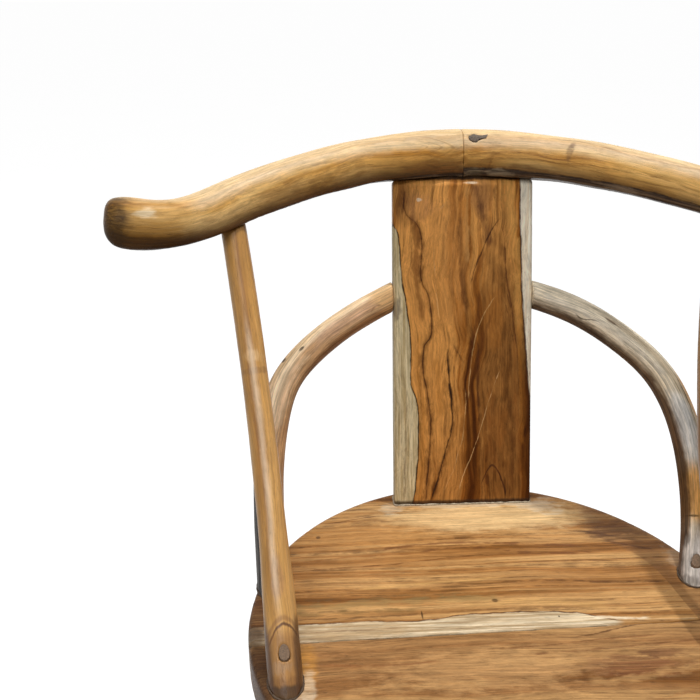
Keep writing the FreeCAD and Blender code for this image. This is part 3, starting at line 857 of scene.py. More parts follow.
INK = paint(44, 26, 14)
SPLAT_SAP_LEFT = (
    (0.0, -0.056), (0.03, -0.0515), (0.089, -0.049), (0.11, -0.0502), (0.137, -0.0575), (0.177, -0.0571),
    (0.213, -0.0608), (0.252, -0.0669), (0.295, -0.0702), (0.31, -0.077), (0.36, -0.085),
)
SPLAT_LEFT_LINE = (
    (0.0, -0.0417), (0.053, -0.0378), (0.086, -0.0352), (0.121, -0.039), (0.156, -0.044), (0.173, -0.043),
    (0.191, -0.0342), (0.228, -0.0374), (0.252, -0.0456), (0.286, -0.0446), (0.308, -0.0511),
    (0.325, -0.0634), (0.346, -0.063),
)
SPLAT_CRACK = (
    (0.0, -0.037), (0.03, -0.0263), (0.061, -0.0184), (0.081, -0.013), (0.112, -0.0121), (0.142, -0.016),
    (0.175, -0.0155),
)
SPLAT_MARKS = (
    Patch((0.044, 0.0, 0.12), (0.058, 0.06, 0.22), paint(74, 36, 6), 0.38, 0.25),
    Patch((0.036, 0.0, 0.14), (0.026, 0.06, 0.17), paint(84, 42, 8), 0.45, 0.2),
    Patch((0.06, 0.0, 0.12), (0.018, 0.06, 0.18), paint(78, 40, 8), 0.4, 0.3),
    Patch((0.02, 0.0, 0.0), (0.1, 0.06, 0.09), paint(84, 42, 8), 0.4, 0.3),
    Patch((0.034, 0.0, 0.205), (0.012, 0.06, 0.04), paint(176, 112, 48), 0.5, 0.4),
    Patch((0.04, 0.0, 0.085), (0.01, 0.06, 0.03), paint(160, 100, 44), 0.45, 0.4),
    Patch((0.02, 0.0, 0.335), (0.016, 0.06, 0.022), paint(92, 58, 44), 0.55, 0.3),
    Patch((-0.064, 0.0, 0.33), (0.012, 0.06, 0.03), paint(104, 66, 34), 0.5, 0.3),
    Patch((-0.022, 0.0, 0.265), (0.036, 0.06, 0.09), paint(202, 140, 76), 0.5, 0.4),
    Line(((0.09, -0.002), (0.16, 0.001), (0.2, 0.007), (0.24, 0.004)), 0.004, paint(202, 138, 68), 0.5,
         0.3),
    Line(((0.12, 0.068), (0.18, 0.063), (0.262, 0.059), (0.331, 0.05), (0.5, 0.03)), 0.007,
         paint(222, 162, 86), 0.8, 0.2, taper=0.11),
    Line(((0.28, 0.029), (0.32, 0.02), (0.352, 0.012)), 0.007, paint(84, 48, 32), 0.7, 0.3),
    Line(((0.262, 0.006), (0.3, 0.004), (0.35, 0.005)), 0.0042, paint(206, 152, 88), 0.6, 0.3),
    Line(((0.215, 0.003), (0.249, -0.002), (0.3, -0.003), (0.345, -0.001)), 0.0026, paint(104, 62, 30),
         0.6, 0.3),
    Line(((0.19, -0.025), (0.24, -0.028), (0.29, -0.033)), 0.0095, paint(200, 138, 70), 0.6, 0.2),
    Line(((0.095, -0.026), (0.13, -0.027), (0.165, -0.029)), 0.0075, paint(196, 132, 62), 0.6, 0.2),
    Line(((0.0, -0.048), (0.06, -0.044), (0.11, -0.044), (0.14, -0.05), (0.19, -0.047)), 0.003,
         paint(196, 132, 60), 0.6, 0.2),
    Line(((0.0, 0.052), (0.06, 0.056), (0.12, 0.05)), 0.004, paint(84, 44, 16), 0.5, 0.5),
    Line(((0.06, 0.066), (0.13, 0.064), (0.2, 0.06)), 0.003, paint(172, 110, 44), 0.5, 0.5),
    Line(((0.04, 0.033), (0.09, 0.03), (0.14, 0.033)), 0.005, paint(150, 92, 40), 0.45, 0.6),
    Line(((0.02, 0.064), (0.1, 0.06), (0.2, 0.056)), 0.003, paint(150, 92, 40), 0.5, 0.5),
    Line(((0.004, -0.033), (0.04, -0.024), (0.075, -0.011), (0.11, -0.007)), 0.0045, paint(90, 50, 22),
         0.5, 0.5),
    Line(((0.061, 0.017), (0.123, 0.0167), (0.184, 0.0165)), 0.0016, paint(78, 42, 20), 0.75, 0.4),
    Line(((0.11, 0.006), (0.16, 0.009), (0.2, 0.015), (0.236, 0.019)), 0.003, paint(96, 54, 24), 0.6,
         0.4),
    Line(((0.24, 0.0074), (0.262, 0.014), (0.278, 0.0206), (0.293, 0.0272), (0.314, 0.0403)), 0.0011,
         paint(60, 32, 18), 0.9, 0.3),
    Line(((0.24, 0.011), (0.265, 0.019), (0.293, 0.031)), 0.0034, paint(112, 66, 32), 0.5, 0.3),
    Line(((0.173, 0.0581), (0.212, 0.0535), (0.25, 0.0477), (0.28, 0.045), (0.305, 0.042)), 0.0011,
         paint(84, 46, 22), 0.8, 0.35),
    Line(((0.315, -0.0366), (0.323, -0.025), (0.333, -0.0157)), 0.001, paint(206, 158, 106), 0.5, 0.7),
    Line(((0.115, 0.0057), (0.163, 0.01), (0.193, 0.0165), (0.219, 0.0285), (0.23, 0.037)), 0.0007,
         paint(214, 168, 108), 0.75, 0.6),
    Line(((0.173, 0.0565), (0.193, 0.0525), (0.216, 0.0474), (0.229, 0.0415)), 0.0008, paint(86, 48, 24),
         0.7, 0.4),
    Line(((0.13, 0.017), (0.165, 0.019), (0.19, 0.025), (0.212, 0.033)), 0.003, paint(108, 62, 28), 0.4,
         0.5),
    Line(((0.115, 0.062), (0.189, 0.057), (0.236, 0.046)), 0.0008, paint(84, 46, 22), 0.6, 0.5),
    Line(((0.004, -0.0064), (0.034, 0.0023), (0.06, 0.0123), (0.082, 0.0196), (0.107, 0.0268),
          (0.149, 0.0415)), 0.0006, paint(224, 178, 120), 0.75, 0.7),
    Line(((0.01, -0.0226), (0.035, -0.0114), (0.054, -0.0053), (0.073, -0.0002), (0.13, 0.003)), 0.0006,
         paint(218, 170, 110), 0.7, 0.7),
    Line(((0.2, -0.026), (0.245, -0.03), (0.29, -0.032)), 0.0006, paint(222, 176, 118), 0.5, 0.8),
    Line(SPLAT_LEFT_LINE, 0.0045, paint(100, 56, 22), 0.65, 0.2),
    Line(SPLAT_LEFT_LINE, 0.001, paint(60, 32, 16), 0.9, 0.25),
    Line(((0.2, -0.042), (0.24, -0.05), (0.262, -0.0515), (0.29, -0.05), (0.32, -0.056)), 0.005,
         paint(110, 62, 24), 0.65, 0.2),
    Line(((0.04, -0.0215), (0.061, -0.014), (0.09, -0.0075), (0.125, -0.0075)), 0.003,
         paint(196, 134, 66), 0.5, 0.3),
    Line(SPLAT_CRACK, 0.003, paint(98, 56, 24), 0.6, 0.3),
    Line(SPLAT_CRACK, 0.0012, INK, 0.95, 0.2),
    Line(((0.112, -0.0122), (0.127, -0.0138), (0.155, -0.0156)), 0.0018, INK, 0.9, 0.2),
    Line(((0.155, 0.002), (0.168, -0.006), (0.18, -0.011)), 0.0016, paint(74, 40, 20), 0.6, 0.5),
    Line(((0.002, 0.0487), (0.028, 0.0424), (0.037, 0.036)), 0.0012, paint(64, 34, 18), 0.85, 0.3),
    Arch((0.041, 0.033), 0.011, 0.018, 0.0014, paint(70, 38, 20), 0.8),
    Patch((0.0272, 0.01, 0.0249), (0.004, 0.03, 0.006), paint(80, 44, 22), 0.6),
    Patch((-0.047, 0.01, 0.326), (0.018, 0.03, 0.02), paint(172, 120, 76), 0.5),
    Patch((-0.047, 0.01, 0.3328), (0.0035, 0.03, 0.0022), paint(236, 214, 184), 0.9, 0.6),
    Patch((0.009, 0.01, 0.35), (0.008, 0.03, 0.0016), paint(224, 200, 168), 0.8, 0.4),
    Side(SPLAT_SAP_LEFT, -1, paint(222, 206, 166), paint(184, 162, 118), INK),
    Side(((0.0, 0.08), (0.069, 0.0775), (0.106, 0.0747), (0.161, 0.0696), (0.216, 0.0653), (0.27, 0.063),
          (0.36, 0.0606)), 1, paint(255, 246, 224), paint(244, 226, 196), paint(74, 42, 22),
         rim_width=0.0011),
    Line(((0.0, -0.066), (0.07, -0.063), (0.13, -0.062)), 0.0014, paint(120, 92, 60), 0.6, 0.7),
    Patch((-0.072, 0.0, 0.218), (0.006, 0.03, 0.014), paint(116, 100, 84), 0.7, 0.7),
    # Painted shadow: a dark band at the top of the splat, under the rail; and painted shade where its foot
    # meets the seat.
    Band(0.3525, 0.5, paint(24, 14, 8), 0.95),
    Band(-0.1, 0.0022, paint(62, 46, 34), 0.85),
)
SEAM_LINE = Line(((-0.23, -0.0288), (0.0, -0.0209), (0.23, -0.0135)), 0.0009, INK, 0.7, 0.6, waver=0.0002)
REAR_PLANK_MARKS = (
    Patch((0.16, 0.0, 0.02), (0.03, 0.05, 0.13), paint(238, 202, 146), 0.75, 0.35),
    Patch((0.135, 0.0, -0.11), (0.03, 0.05, 0.09), paint(204, 148, 84), 0.4, 0.4),
    Line(((-0.15, 0.156), (-0.11, 0.166), (-0.08, 0.172)), 0.0007, paint(96, 60, 34), 0.8, 0.4),
    Line(((-0.18, 0.076), (-0.1, 0.0807), (-0.045, 0.0876), (0.02, 0.093), (0.11, 0.09)), 0.0012,
         paint(112, 68, 34), 0.8, 0.5),
    Line(((-0.175, 0.09), (-0.12, 0.096), (-0.06, 0.098)), 0.0016, paint(134, 84, 42), 0.6, 0.6),
    Line(((-0.1, 0.105), (-0.06, 0.1129), (0.0, 0.115), (0.07, 0.108), (0.11, 0.104)), 0.0028,
         paint(116, 72, 42), 0.75, 0.75),
    Line(((-0.06, 0.101), (0.0, 0.106), (0.049, 0.096), (0.12, 0.093)), 0.002, paint(108, 66, 38), 0.7,
         0.8),
    Line(((-0.02, 0.122), (0.04, 0.121), (0.095, 0.115)), 0.0014, paint(120, 78, 46), 0.6, 0.7),
    Line(((-0.16, 0.064), (-0.08, 0.07), (0.01, 0.07), (0.1, 0.064)), 0.0022, paint(168, 112, 58), 0.6,
         0.5),
    Line(((0.01, 0.048), (0.06, 0.05), (0.12, 0.044), (0.175, 0.042)), 0.0016, paint(104, 66, 36), 0.75,
         0.6),
    Line(((-0.13, 0.043), (-0.06, 0.05), (0.02, 0.056)), 0.0022, paint(222, 172, 104), 0.5, 0.5),
    Line(((-0.19, 0.019), (-0.12, 0.022), (-0.06, 0.026), (0.01, 0.024)), 0.0075, paint(156, 130, 82),
         0.55, 0.6),
    Line(((-0.19, 0.009), (-0.13, 0.011), (-0.07, 0.012)), 0.004, paint(138, 108, 64), 0.6, 0.7),
    Line(((-0.18, 0.03), (-0.12, 0.031), (-0.07, 0.032)), 0.0011, paint(92, 66, 38), 0.6, 0.8),
    Line(((-0.19, 0.002), (-0.13, 0.003), (-0.06, 0.006)), 0.0016, paint(98, 66, 38), 0.75, 0.7),
    Line(((-0.03, 0.015), (0.04, 0.017), (0.11, 0.008)), 0.006, paint(204, 158, 96), 0.5, 0.4),
    Side(((-0.23, -0.005), (-0.179, -0.004), (-0.125, -0.0026), (-0.068, -0.004), (-0.028, 0.003),
          (0.01, 0.004), (0.057, 0.003), (0.101, -0.009), (0.129, -0.018)), -1, paint(226, 206, 172),
         paint(176, 148, 110), paint(96, 62, 36), rim_width=0.0009, ragged=0.002, limits=(-0.25, 0.118)),
    Line(((0.085, -0.006), (0.11, -0.0085), (0.143, -0.0105)), 0.0022, paint(240, 222, 190), 0.85, 0.3),
    Line(((0.13, -0.011), (0.16, -0.012), (0.2, -0.011)), 0.001, paint(224, 190, 140), 0.6, 0.4),
    Patch((-0.014, 0.0, -0.13), (0.012, 0.05, 0.06), paint(188, 156, 114), 0.6, 0.5),
    Line(((-0.19, -0.015), (-0.13, -0.014), (-0.08, -0.013)), 0.0012, paint(140, 108, 74), 0.6, 0.8),
    Line(((-0.02, -0.009), (0.03, -0.008), (0.07, -0.009)), 0.0014, paint(200, 172, 132), 0.6, 0.6),
    Patch((0.004, 0.0, -0.068), (0.007, 0.05, 0.001), INK, 0.85, 0.25),
    Patch((0.0209, 0.0, 0.0034), (0.003, 0.05, 0.0035), INK, 0.85, 0.3),
    Patch((0.1313, 0.0, -0.162), (0.003, 0.05, 0.003), paint(86, 60, 40), 0.8, 0.3),
    Patch((-0.004, 0.0, 0.058), (0.0012, 0.05, 0.001), INK, 0.9, 0.1),
    # Painted shadow on the right rear rim of the seat, where the right post, brace and rail cast their
    # shadow.
    Side(((0.1, 0.14), (0.14, 0.11), (0.171, 0.066), (0.186, -0.014), (0.2, -0.06)), 1,
         paint(134, 94, 60), paint(96, 62, 38), softness=0.004, strength=0.5, ragged=0.002,
         limits=(0.122, 0.3)),
    Patch((0.128, 0.0, 0.15), (0.018, 0.05, 0.04), paint(84, 54, 36), 0.75, 0.8),
    Line(((0.1, 0.133), (0.14, 0.122), (0.18, 0.106)), 0.003, paint(70, 44, 30), 0.7, 0.7, taper=0.02),
    Line(((0.12, 0.118), (0.15, 0.106), (0.19, 0.09)), 0.0024, paint(78, 50, 34), 0.6, 0.8, taper=0.02),
    Patch((0.08, 0.0, 0.2), (0.018, 0.05, 0.012), paint(176, 160, 138), 0.4, 0.9),
    Patch((0.186, 0.0, 0.0), (0.006, 0.05, 0.084), paint(222, 204, 174), 0.6, 0.6),
    Patch((0.182, 0.0, -0.08), (0.014, 0.05, 0.014), paint(214, 196, 168), 0.45, 0.9),
    # Painted shadow at the left rim of the seat, beside the left post.
    Patch((0.01, 0.0, -0.222), (0.06, 0.05, 0.018), paint(80, 52, 34), 0.85, 0.3),
    Patch((0.18, 0.0, 0.086), (0.018, 0.05, 0.022), paint(224, 206, 178), 0.5, 0.9),
    SEAM_LINE,
)
FRONT_PLANK_MARKS = (
    Patch((-0.07, 0.0, 0.105), (0.016, 0.05, 0.05), paint(116, 72, 46), 0.7, 0.75),
    Patch((-0.056, 0.0, 0.135), (0.008, 0.05, 0.025), paint(98, 58, 38), 0.65, 0.7),
    Patch((-0.07, 0.0, -0.02), (0.03, 0.05, 0.1), paint(206, 160, 106), 0.5, 0.5),
    Line(((0.06, -0.033), (0.083, -0.029), (0.114, -0.021), (0.143, -0.016), (0.186, -0.019)), 0.001,
         paint(90, 56, 32), 0.85, 0.35),
    Line(((-0.01, -0.043), (0.03, -0.042), (0.086, -0.0366), (0.139, -0.033)), 0.0014, paint(112, 68, 38),
         0.7, 0.65),
    Line(((0.02, -0.052), (0.086, -0.048), (0.167, -0.0412), (0.2, -0.04)), 0.0016, paint(110, 66, 38),
         0.6, 0.6),
    Line(((-0.17, -0.056), (-0.11, -0.059), (-0.06, -0.056)), 0.0018, paint(134, 84, 48), 0.6, 0.7),
    Line(((0.06, -0.088), (0.118, -0.082), (0.18, -0.064)), 0.006, paint(206, 160, 104), 0.5, 0.5),
    Line(((-0.15, -0.09), (-0.09, -0.085), (-0.02, -0.086)), 0.008, paint(208, 162, 106), 0.4, 0.5),
    Line(((0.04, -0.12), (0.1, -0.112), (0.17, -0.094)), 0.003, paint(150, 98, 56), 0.5, 0.6),
    Patch((-0.06, 0.0, -0.176), (0.04, 0.05, 0.012), paint(212, 150, 70), 0.55, 0.4),
    Patch((-0.085, 0.0, -0.1735), (0.03, 0.05, 0.0075), paint(206, 188, 160), 0.6, 0.6),
    Patch((-0.098, 0.0, -0.19), (0.006, 0.05, 0.016), paint(224, 210, 190), 0.8, 0.5),
    # Painted shadow at the left rim of the seat, beside the left post.
    Patch((-0.07, 0.0, -0.216), (0.06, 0.05, 0.02), paint(66, 44, 30), 0.85, 0.3),
    SEAM_LINE,
)
# Painted highlight: a pale soft band along the upper third of the rail, where the lamps light it.
RAIL_PAINTED_HIGHLIGHT = Line(((-0.04, 0.011), (0.06, 0.0115), (0.14, 0.013), (0.22, 0.0145), (0.3, 0.013),
                  (0.355, 0.01)), 0.0095, paint(238, 216, 180), 0.6, 0.1, waver=0.0006, taper=0.04,
                 axis=Axis.DEPTH, soft=True)
# Painted light: the top of the rail made paler, as where light falls on it from above.
RAIL_PAINTED_LIT_TOP = Side(((0.0, 0.0165), (0.15, 0.017), (0.3, 0.0165), (0.42, 0.019)), 1, paint(222, 194, 150),
                  paint(206, 176, 130), softness=0.003, strength=0.8, ragged=0.0012, axis=Axis.DEPTH)
RAIL_SHADE = Side(((0.0, -0.0118), (0.2, -0.0108), (0.33, -0.01), (0.37, -0.0055), (0.42, 0.001)), -1,
                  paint(90, 50, 12), paint(60, 32, 6), softness=0.0105, strength=0.92, ragged=0.0015,
                  axis=Axis.DEPTH)
RAIL_RIGHT_MARKS = (
    RAIL_PAINTED_HIGHLIGHT,
    RAIL_PAINTED_LIT_TOP,
    RAIL_SHADE,
    Patch((-0.019, 0.007, 0.121), (0.01, 0.018, 0.004), paint(104, 76, 58), 0.6, 0.6),
    Line(((0.0, -0.004), (0.06, 0.0), (0.13, -0.003), (0.22, 0.0)), 0.0009, paint(136, 90, 44), 0.6, 0.6,
         axis=Axis.DEPTH),
    Line(((0.01, -0.009), (0.08, -0.005), (0.15, -0.008), (0.25, -0.006)), 0.0008, paint(136, 90, 44),
         0.5, 0.6, axis=Axis.DEPTH),
    Line(((0.06, 0.016), (0.12, 0.019), (0.2, 0.015), (0.26, 0.017)), 0.001, paint(146, 100, 52), 0.5,
         0.6, axis=Axis.DEPTH),
    Side(((0.0, -0.017), (0.1, -0.0185), (0.2, -0.0162), (0.3, -0.0165), (0.42, -0.022)), -1,
         paint(112, 90, 68), paint(56, 40, 28), paint(34, 20, 12), rim_width=0.0012, ragged=0.001,
         axis=Axis.DEPTH),
    Patch((-0.018, -0.0215, 0.014), (0.012, 0.006, 0.01), paint(146, 130, 100), 0.5, 0.9),
    Patch((-0.018, -0.022, 0.045), (0.012, 0.006, 0.02), paint(166, 148, 120), 0.5, 0.9),
    Patch((-0.018, -0.021, 0.185), (0.012, 0.006, 0.02), paint(140, 120, 98), 0.6, 0.7),
)
RAIL_LEFT_MARKS = (
    RAIL_PAINTED_HIGHLIGHT,
    RAIL_PAINTED_LIT_TOP,
    RAIL_SHADE,
    Arch((0.012, 0.004), 0.015, -0.045, 0.0018, paint(138, 94, 48), 0.35, Axis.DEPTH, -1),
    Arch((0.026, 0.005), 0.011, -0.05, 0.0016, paint(138, 94, 48), 0.3, Axis.DEPTH, -1),
    Arch((0.044, 0.006), 0.008, -0.05, 0.0014, paint(138, 94, 48), 0.3, Axis.DEPTH, -1),
    Patch((-0.021, 0.0, 0.378), (0.05, 0.032, 0.042), paint(170, 118, 40), 0.65, 0.3),
    # Painted highlight on the top of the hand-hold, and painted shade along its underside.
    Patch((-0.021, 0.0085, 0.366), (0.02, 0.009, 0.026), paint(224, 182, 120), 0.5, 0.4),
    Patch((-0.0205, 0.0085, 0.375), (0.014, 0.0055, 0.0085), paint(255, 236, 200), 0.7, 0.6),
    Patch((-0.01, -0.0215, 0.385), (0.04, 0.015, 0.07), paint(58, 30, 4), 0.9, 0.2),
    Patch((-0.014, -0.004, 0.402), (0.045, 0.04, 0.022), paint(58, 36, 6), 0.9, 0.3),
    Patch((-0.023, -0.015, 0.02), (0.014, 0.01, 0.06), paint(110, 68, 32), 0.45, 0.6),
    Side(((0.0, -0.0225), (0.1, -0.0235), (0.42, -0.0245)), -1, paint(118, 102, 84), paint(66, 52, 42),
         paint(48, 32, 20), ragged=0.0008, axis=Axis.DEPTH),
)
POST_LEFT_MARKS = (
    Patch((0.0, 0.012, 0.022), (0.02, 0.03, 0.026), paint(214, 166, 108), 0.6, 0.3),
    Arch((0.047, -0.003), 0.013, 0.014, 0.0013, paint(84, 50, 38), 0.85),
    Arch((0.052, -0.003), 0.013, 0.012, 0.0022, paint(132, 88, 58), 0.5),
    Patch((-0.001, 0.0125, 0.085), (0.007, 0.02, 0.024), paint(150, 108, 82), 0.55, 0.5),
    # A node ring: a darker band of painted shade with a painted highlight just above it, as on a lit bump.
    Patch((-0.002, 0.012, 0.272), (0.018, 0.03, 0.004), paint(146, 104, 62), 0.6, 0.4),
    Patch((-0.002, 0.012, 0.286), (0.01, 0.03, 0.008), paint(224, 186, 136), 0.5, 0.5),
    Patch((0.0, 0.012, -0.002), (0.024, 0.04, 0.009), paint(106, 74, 46), 0.6, 0.5),
    Patch((0.002, 0.014, 0.012), (0.01, 0.02, 0.006), paint(222, 196, 164), 0.5, 0.7),
    Band(-0.05, 0.04, paint(140, 92, 44), 0.6, taper=0.006),
    # Painted shade in the gap under the post's foot.
    Band(-0.05, -0.002, paint(56, 38, 24), 0.8, taper=0.002, ragged=0.003),
    # Painted highlight: a pale soft streak down the middle of the post.
    Line(((0.05, 0.001), (0.15, 0.0005), (0.25, 0.0), (0.33, 0.001)), 0.0042, paint(246, 220, 188), 0.45,
         0.1, taper=0.04, soft=True),
    Line(((0.12, 0.004), (0.2, 0.004), (0.3, 0.005), (0.4, 0.005)), 0.0008, paint(134, 92, 52), 0.4, 0.6),
    Line(((0.1, -0.005), (0.18, -0.006), (0.26, -0.008)), 0.0008, paint(134, 92, 52), 0.4, 0.6),
    # Painted shade: darker strips on both sides of the foot, next to the seat.
    Side(((-0.05, 0.0105), (0.04, 0.011), (0.06, 0.015)), 1, paint(96, 62, 34), paint(70, 44, 24),
         softness=0.002, strength=0.8, limits=(-0.06, 0.06)),
    Side(((-0.05, -0.0105), (0.04, -0.011), (0.06, -0.015)), -1, paint(96, 62, 34), paint(70, 44, 24),
         softness=0.002, strength=0.8, limits=(-0.06, 0.06)),
)
BRACE_LEFT_MARKS = (
    # Painted shade on the underside of the brace.
    Side(((0.0, 0.0105), (0.09, 0.012), (0.16, 0.0142), (0.3, 0.0145), (0.4, 0.0145)), 1,
         paint(176, 126, 78), paint(124, 82, 48), softness=0.003, strength=0.8),
    # Painted highlight: a pale soft streak along the brace.
    Line(((0.02, -0.006), (0.1, -0.005), (0.17, -0.004), (0.22, -0.004)), 0.005, paint(252, 230, 196),
         0.5, 0.2, soft=True),
    Patch((-0.002, 0.014, 0.01), (0.02, 0.03, 0.02), paint(226, 182, 124), 0.6, 0.4),
    Line(((0.016, 0.01), (0.024, 0.006), (0.036, 0.01)), 0.0012, paint(116, 74, 44), 0.7, 0.3),
    Patch((0.002, 0.015, 0.07), (0.008, 0.02, 0.05), paint(206, 168, 142), 0.5, 0.5),
    Patch((-0.0052, 0.0146, 0.118), (0.0018, 0.01, 0.004), INK, 0.9, 0.3),
    Patch((-0.013, 0.008, 0.137), (0.003, 0.01, 0.004), INK, 0.9, 0.3),
    Patch((0.0, 0.015, 0.175), (0.014, 0.02, 0.06), paint(244, 216, 180), 0.6, 0.4),
    Side(((0.23, -0.01), (0.3, -0.0085), (0.4, -0.008)), -1, paint(124, 120, 116), paint(62, 58, 56),
         softness=0.002, limits=(0.225, 0.45)),
)
BRACE_RIGHT_MARKS = (
    Line(((0.01, 0.003), (0.09, 0.006), (0.17, 0.004)), 0.005, paint(240, 228, 208), 0.55, 0.7),
    Line(((0.05, 0.008), (0.062, 0.0105), (0.074, 0.007), (0.08, 0.006)), 0.0009, INK, 0.9, 0.2),
    Patch((-0.002, 0.015, 0.09), (0.002, 0.02, 0.008), paint(96, 68, 46), 0.7, 0.5),
    Patch((0.004, 0.013, 0.227), (0.012, 0.02, 0.048), paint(218, 214, 208), 0.95, 0.3),
    Line(((0.18, 0.0085), (0.215, 0.0105), (0.262, 0.01)), 0.0022, paint(138, 132, 126), 0.55, 0.6),
    Line(((0.188, 0.012), (0.22, 0.014), (0.262, 0.012)), 0.0012, paint(96, 92, 90), 0.6, 0.6),
    Patch((-0.0125, 0.01, 0.198), (0.0055, 0.02, 0.032), paint(204, 150, 92), 0.85, 0.25),
    Line(((0.168, -0.009), (0.19, -0.0075), (0.225, -0.007)), 0.0008, paint(84, 60, 40), 0.8, 0.3),
    Patch((0.008, 0.012, 0.297), (0.03, 0.04, 0.034), paint(210, 154, 84), 0.95, 0.15),
    Patch((0.009, 0.012, 0.3215), (0.006, 0.02, 0.0014), INK, 0.8, 0.3),
    Patch((0.0, 0.0, 0.368), (0.04, 0.04, 0.042), paint(208, 200, 192), 0.9, 0.18),
    Patch((0.013, 0.009, 0.345), (0.004, 0.02, 0.01), paint(74, 66, 60), 0.7, 0.6),
    Patch((0.009, 0.012, 0.386), (0.014, 0.02, 0.006), paint(78, 68, 60), 0.6, 0.7),
    # Painted shade on the underside of the brace.
    Side(((0.0, 0.0115), (0.04, 0.012), (0.12, 0.0132), (0.2, 0.012), (0.25, 0.0104), (0.33, 0.0104),
          (0.35, 0.0125), (0.4, 0.0134)), 1, paint(108, 76, 46), paint(64, 44, 28), softness=0.0022,
         strength=0.92, ragged=0.0016),
)

RAIL_LEFT_WOOD = WoodFinish(
    "rail_left_wood", paint(240, 200, 134), paint(222, 172, 96), paint(190, 132, 56), paint(122, 74, 30),
    figure=0.015, wander=0.01, streaks=0.4, threads=0.28, fibre=0.16, mottle=0.14, clouds=0.2,
    rough_low=0.34, rough_high=0.46, gloss=0.14, seed=3.0, marks=RAIL_LEFT_MARKS,
)
RAIL_RIGHT_WOOD = replace(RAIL_LEFT_WOOD, name="rail_right_wood", seed=5.0, marks=RAIL_RIGHT_MARKS)
SPLAT_WOOD = WoodFinish(
    "splat_wood", paint(222, 156, 82), paint(172, 108, 44), paint(82, 42, 10), paint(50, 26, 8),
    figure=0.02, wander=0.02, run=0.11, slant=0.2, streaks=0.5, threads=0.2, contrast=0.07, fibre=0.14,
    mottle=0.15, clouds=0.0, seed=7.0, marks=SPLAT_MARKS,
)
REAR_PLANK_WOOD = WoodFinish(
    "rear_plank_wood", paint(204, 157, 100), paint(172, 121, 68), paint(124, 78, 34), paint(72, 42, 20),
    figure=0.014, wander=0.01, run=0.2, slant=0.1, streaks=0.6, fibre=0.15, mottle=0.12, clouds=0.2,
    seed=12.0, marks=REAR_PLANK_MARKS,
)
FRONT_PLANK_WOOD = WoodFinish(
    "front_plank_wood", paint(181, 138, 88), paint(155, 110, 66), paint(114, 72, 34), paint(80, 48, 24),
    figure=0.026, wander=0.016, run=0.22, slant=0.1, streaks=0.4, threads=0.4, contrast=0.1, fibre=0.18,
    mottle=0.15, clouds=0.25, seed=40.0, marks=FRONT_PLANK_MARKS,
)
POST_LEFT_WOOD = WoodFinish(
    "post_left_wood", paint(226, 178, 112), paint(202, 150, 82), paint(150, 100, 48), paint(104, 66, 34),
    figure=0.012, wander=0.006, streaks=0.15, threads=0.12, contrast=0.18, fibre=0.12, mottle=0.08,
    rough_low=0.28, rough_high=0.4, gloss=0.3, seed=17.0, marks=POST_LEFT_MARKS,
)
# Painted shade: the right post is a darker, greyer copy of the left post's wood, as it stands in shade.
POST_RIGHT_SHADED_WOOD = replace(
    POST_LEFT_WOOD, name="post_right_wood_painted_shade", light=paint(206, 170, 124), middle=paint(176, 138, 94),
    dark=paint(126, 90, 56), seed=19.0, marks=(),
)
FRAME_WOOD = WoodFinish(
    "frame_wood", paint(210, 164, 102), paint(182, 132, 74), paint(136, 90, 46), paint(94, 60, 32),
    figure=0.012, wander=0.006, streaks=0.35, fibre=0.22, seed=23.0,
)
TAN_BRANCH = WoodFinish(
    "tan_branch_wood", paint(255, 224, 180), paint(242, 204, 156), paint(194, 148, 102),
    paint(110, 72, 44), figure=0.012, wander=0.008, streaks=0.3, fibre=0.25, rough_low=0.46,
    rough_high=0.62, gloss=0.15, seed=29.0, marks=BRACE_LEFT_MARKS,
)
GREY_BRANCH = WoodFinish(
    "grey_branch_wood", paint(240, 226, 200), paint(216, 198, 168), paint(168, 146, 118),
    paint(96, 74, 54), figure=0.01, wander=0.006, streaks=0.4, fibre=0.3, mottle=0.22, rough_low=0.6,
    rough_high=0.8, gloss=0.1, seed=31.0, marks=BRACE_RIGHT_MARKS,
)
SPLAT_PUTTY = PlainFinish("splat_putty", paint(196, 180, 154), paint(120, 102, 82), (300, 300, 300), 0.8)
# Painted shade: the beads round the feet of the posts and braces are dark, as the shaded gap at each foot.
FOOT_BEAD_SHADE = PlainFinish("foot_bead_painted_shade", paint(92, 74, 58), paint(44, 34, 26), (300, 300, 300), 0.8)
DOWEL_WOOD = PlainFinish("dowel_wood", paint(206, 172, 122), paint(178, 138, 88), (90, 900, 900))
PLUG_WOOD = PlainFinish("plug_wood", paint(138, 112, 88), paint(98, 80, 64), (700, 700, 700), relief=0.0003)
KNOT_PUTTY = PlainFinish("knot_putty", paint(104, 88, 72), paint(52, 42, 36), (500, 500, 500), relief=0.0006)
SCREW_STEEL = PlainFinish("screw_steel", paint(176, 176, 172), paint(140, 140, 136), (900, 900, 60),
                          0.35, 1.0, gloss=0.5)


# Routes of the bent and straight pieces

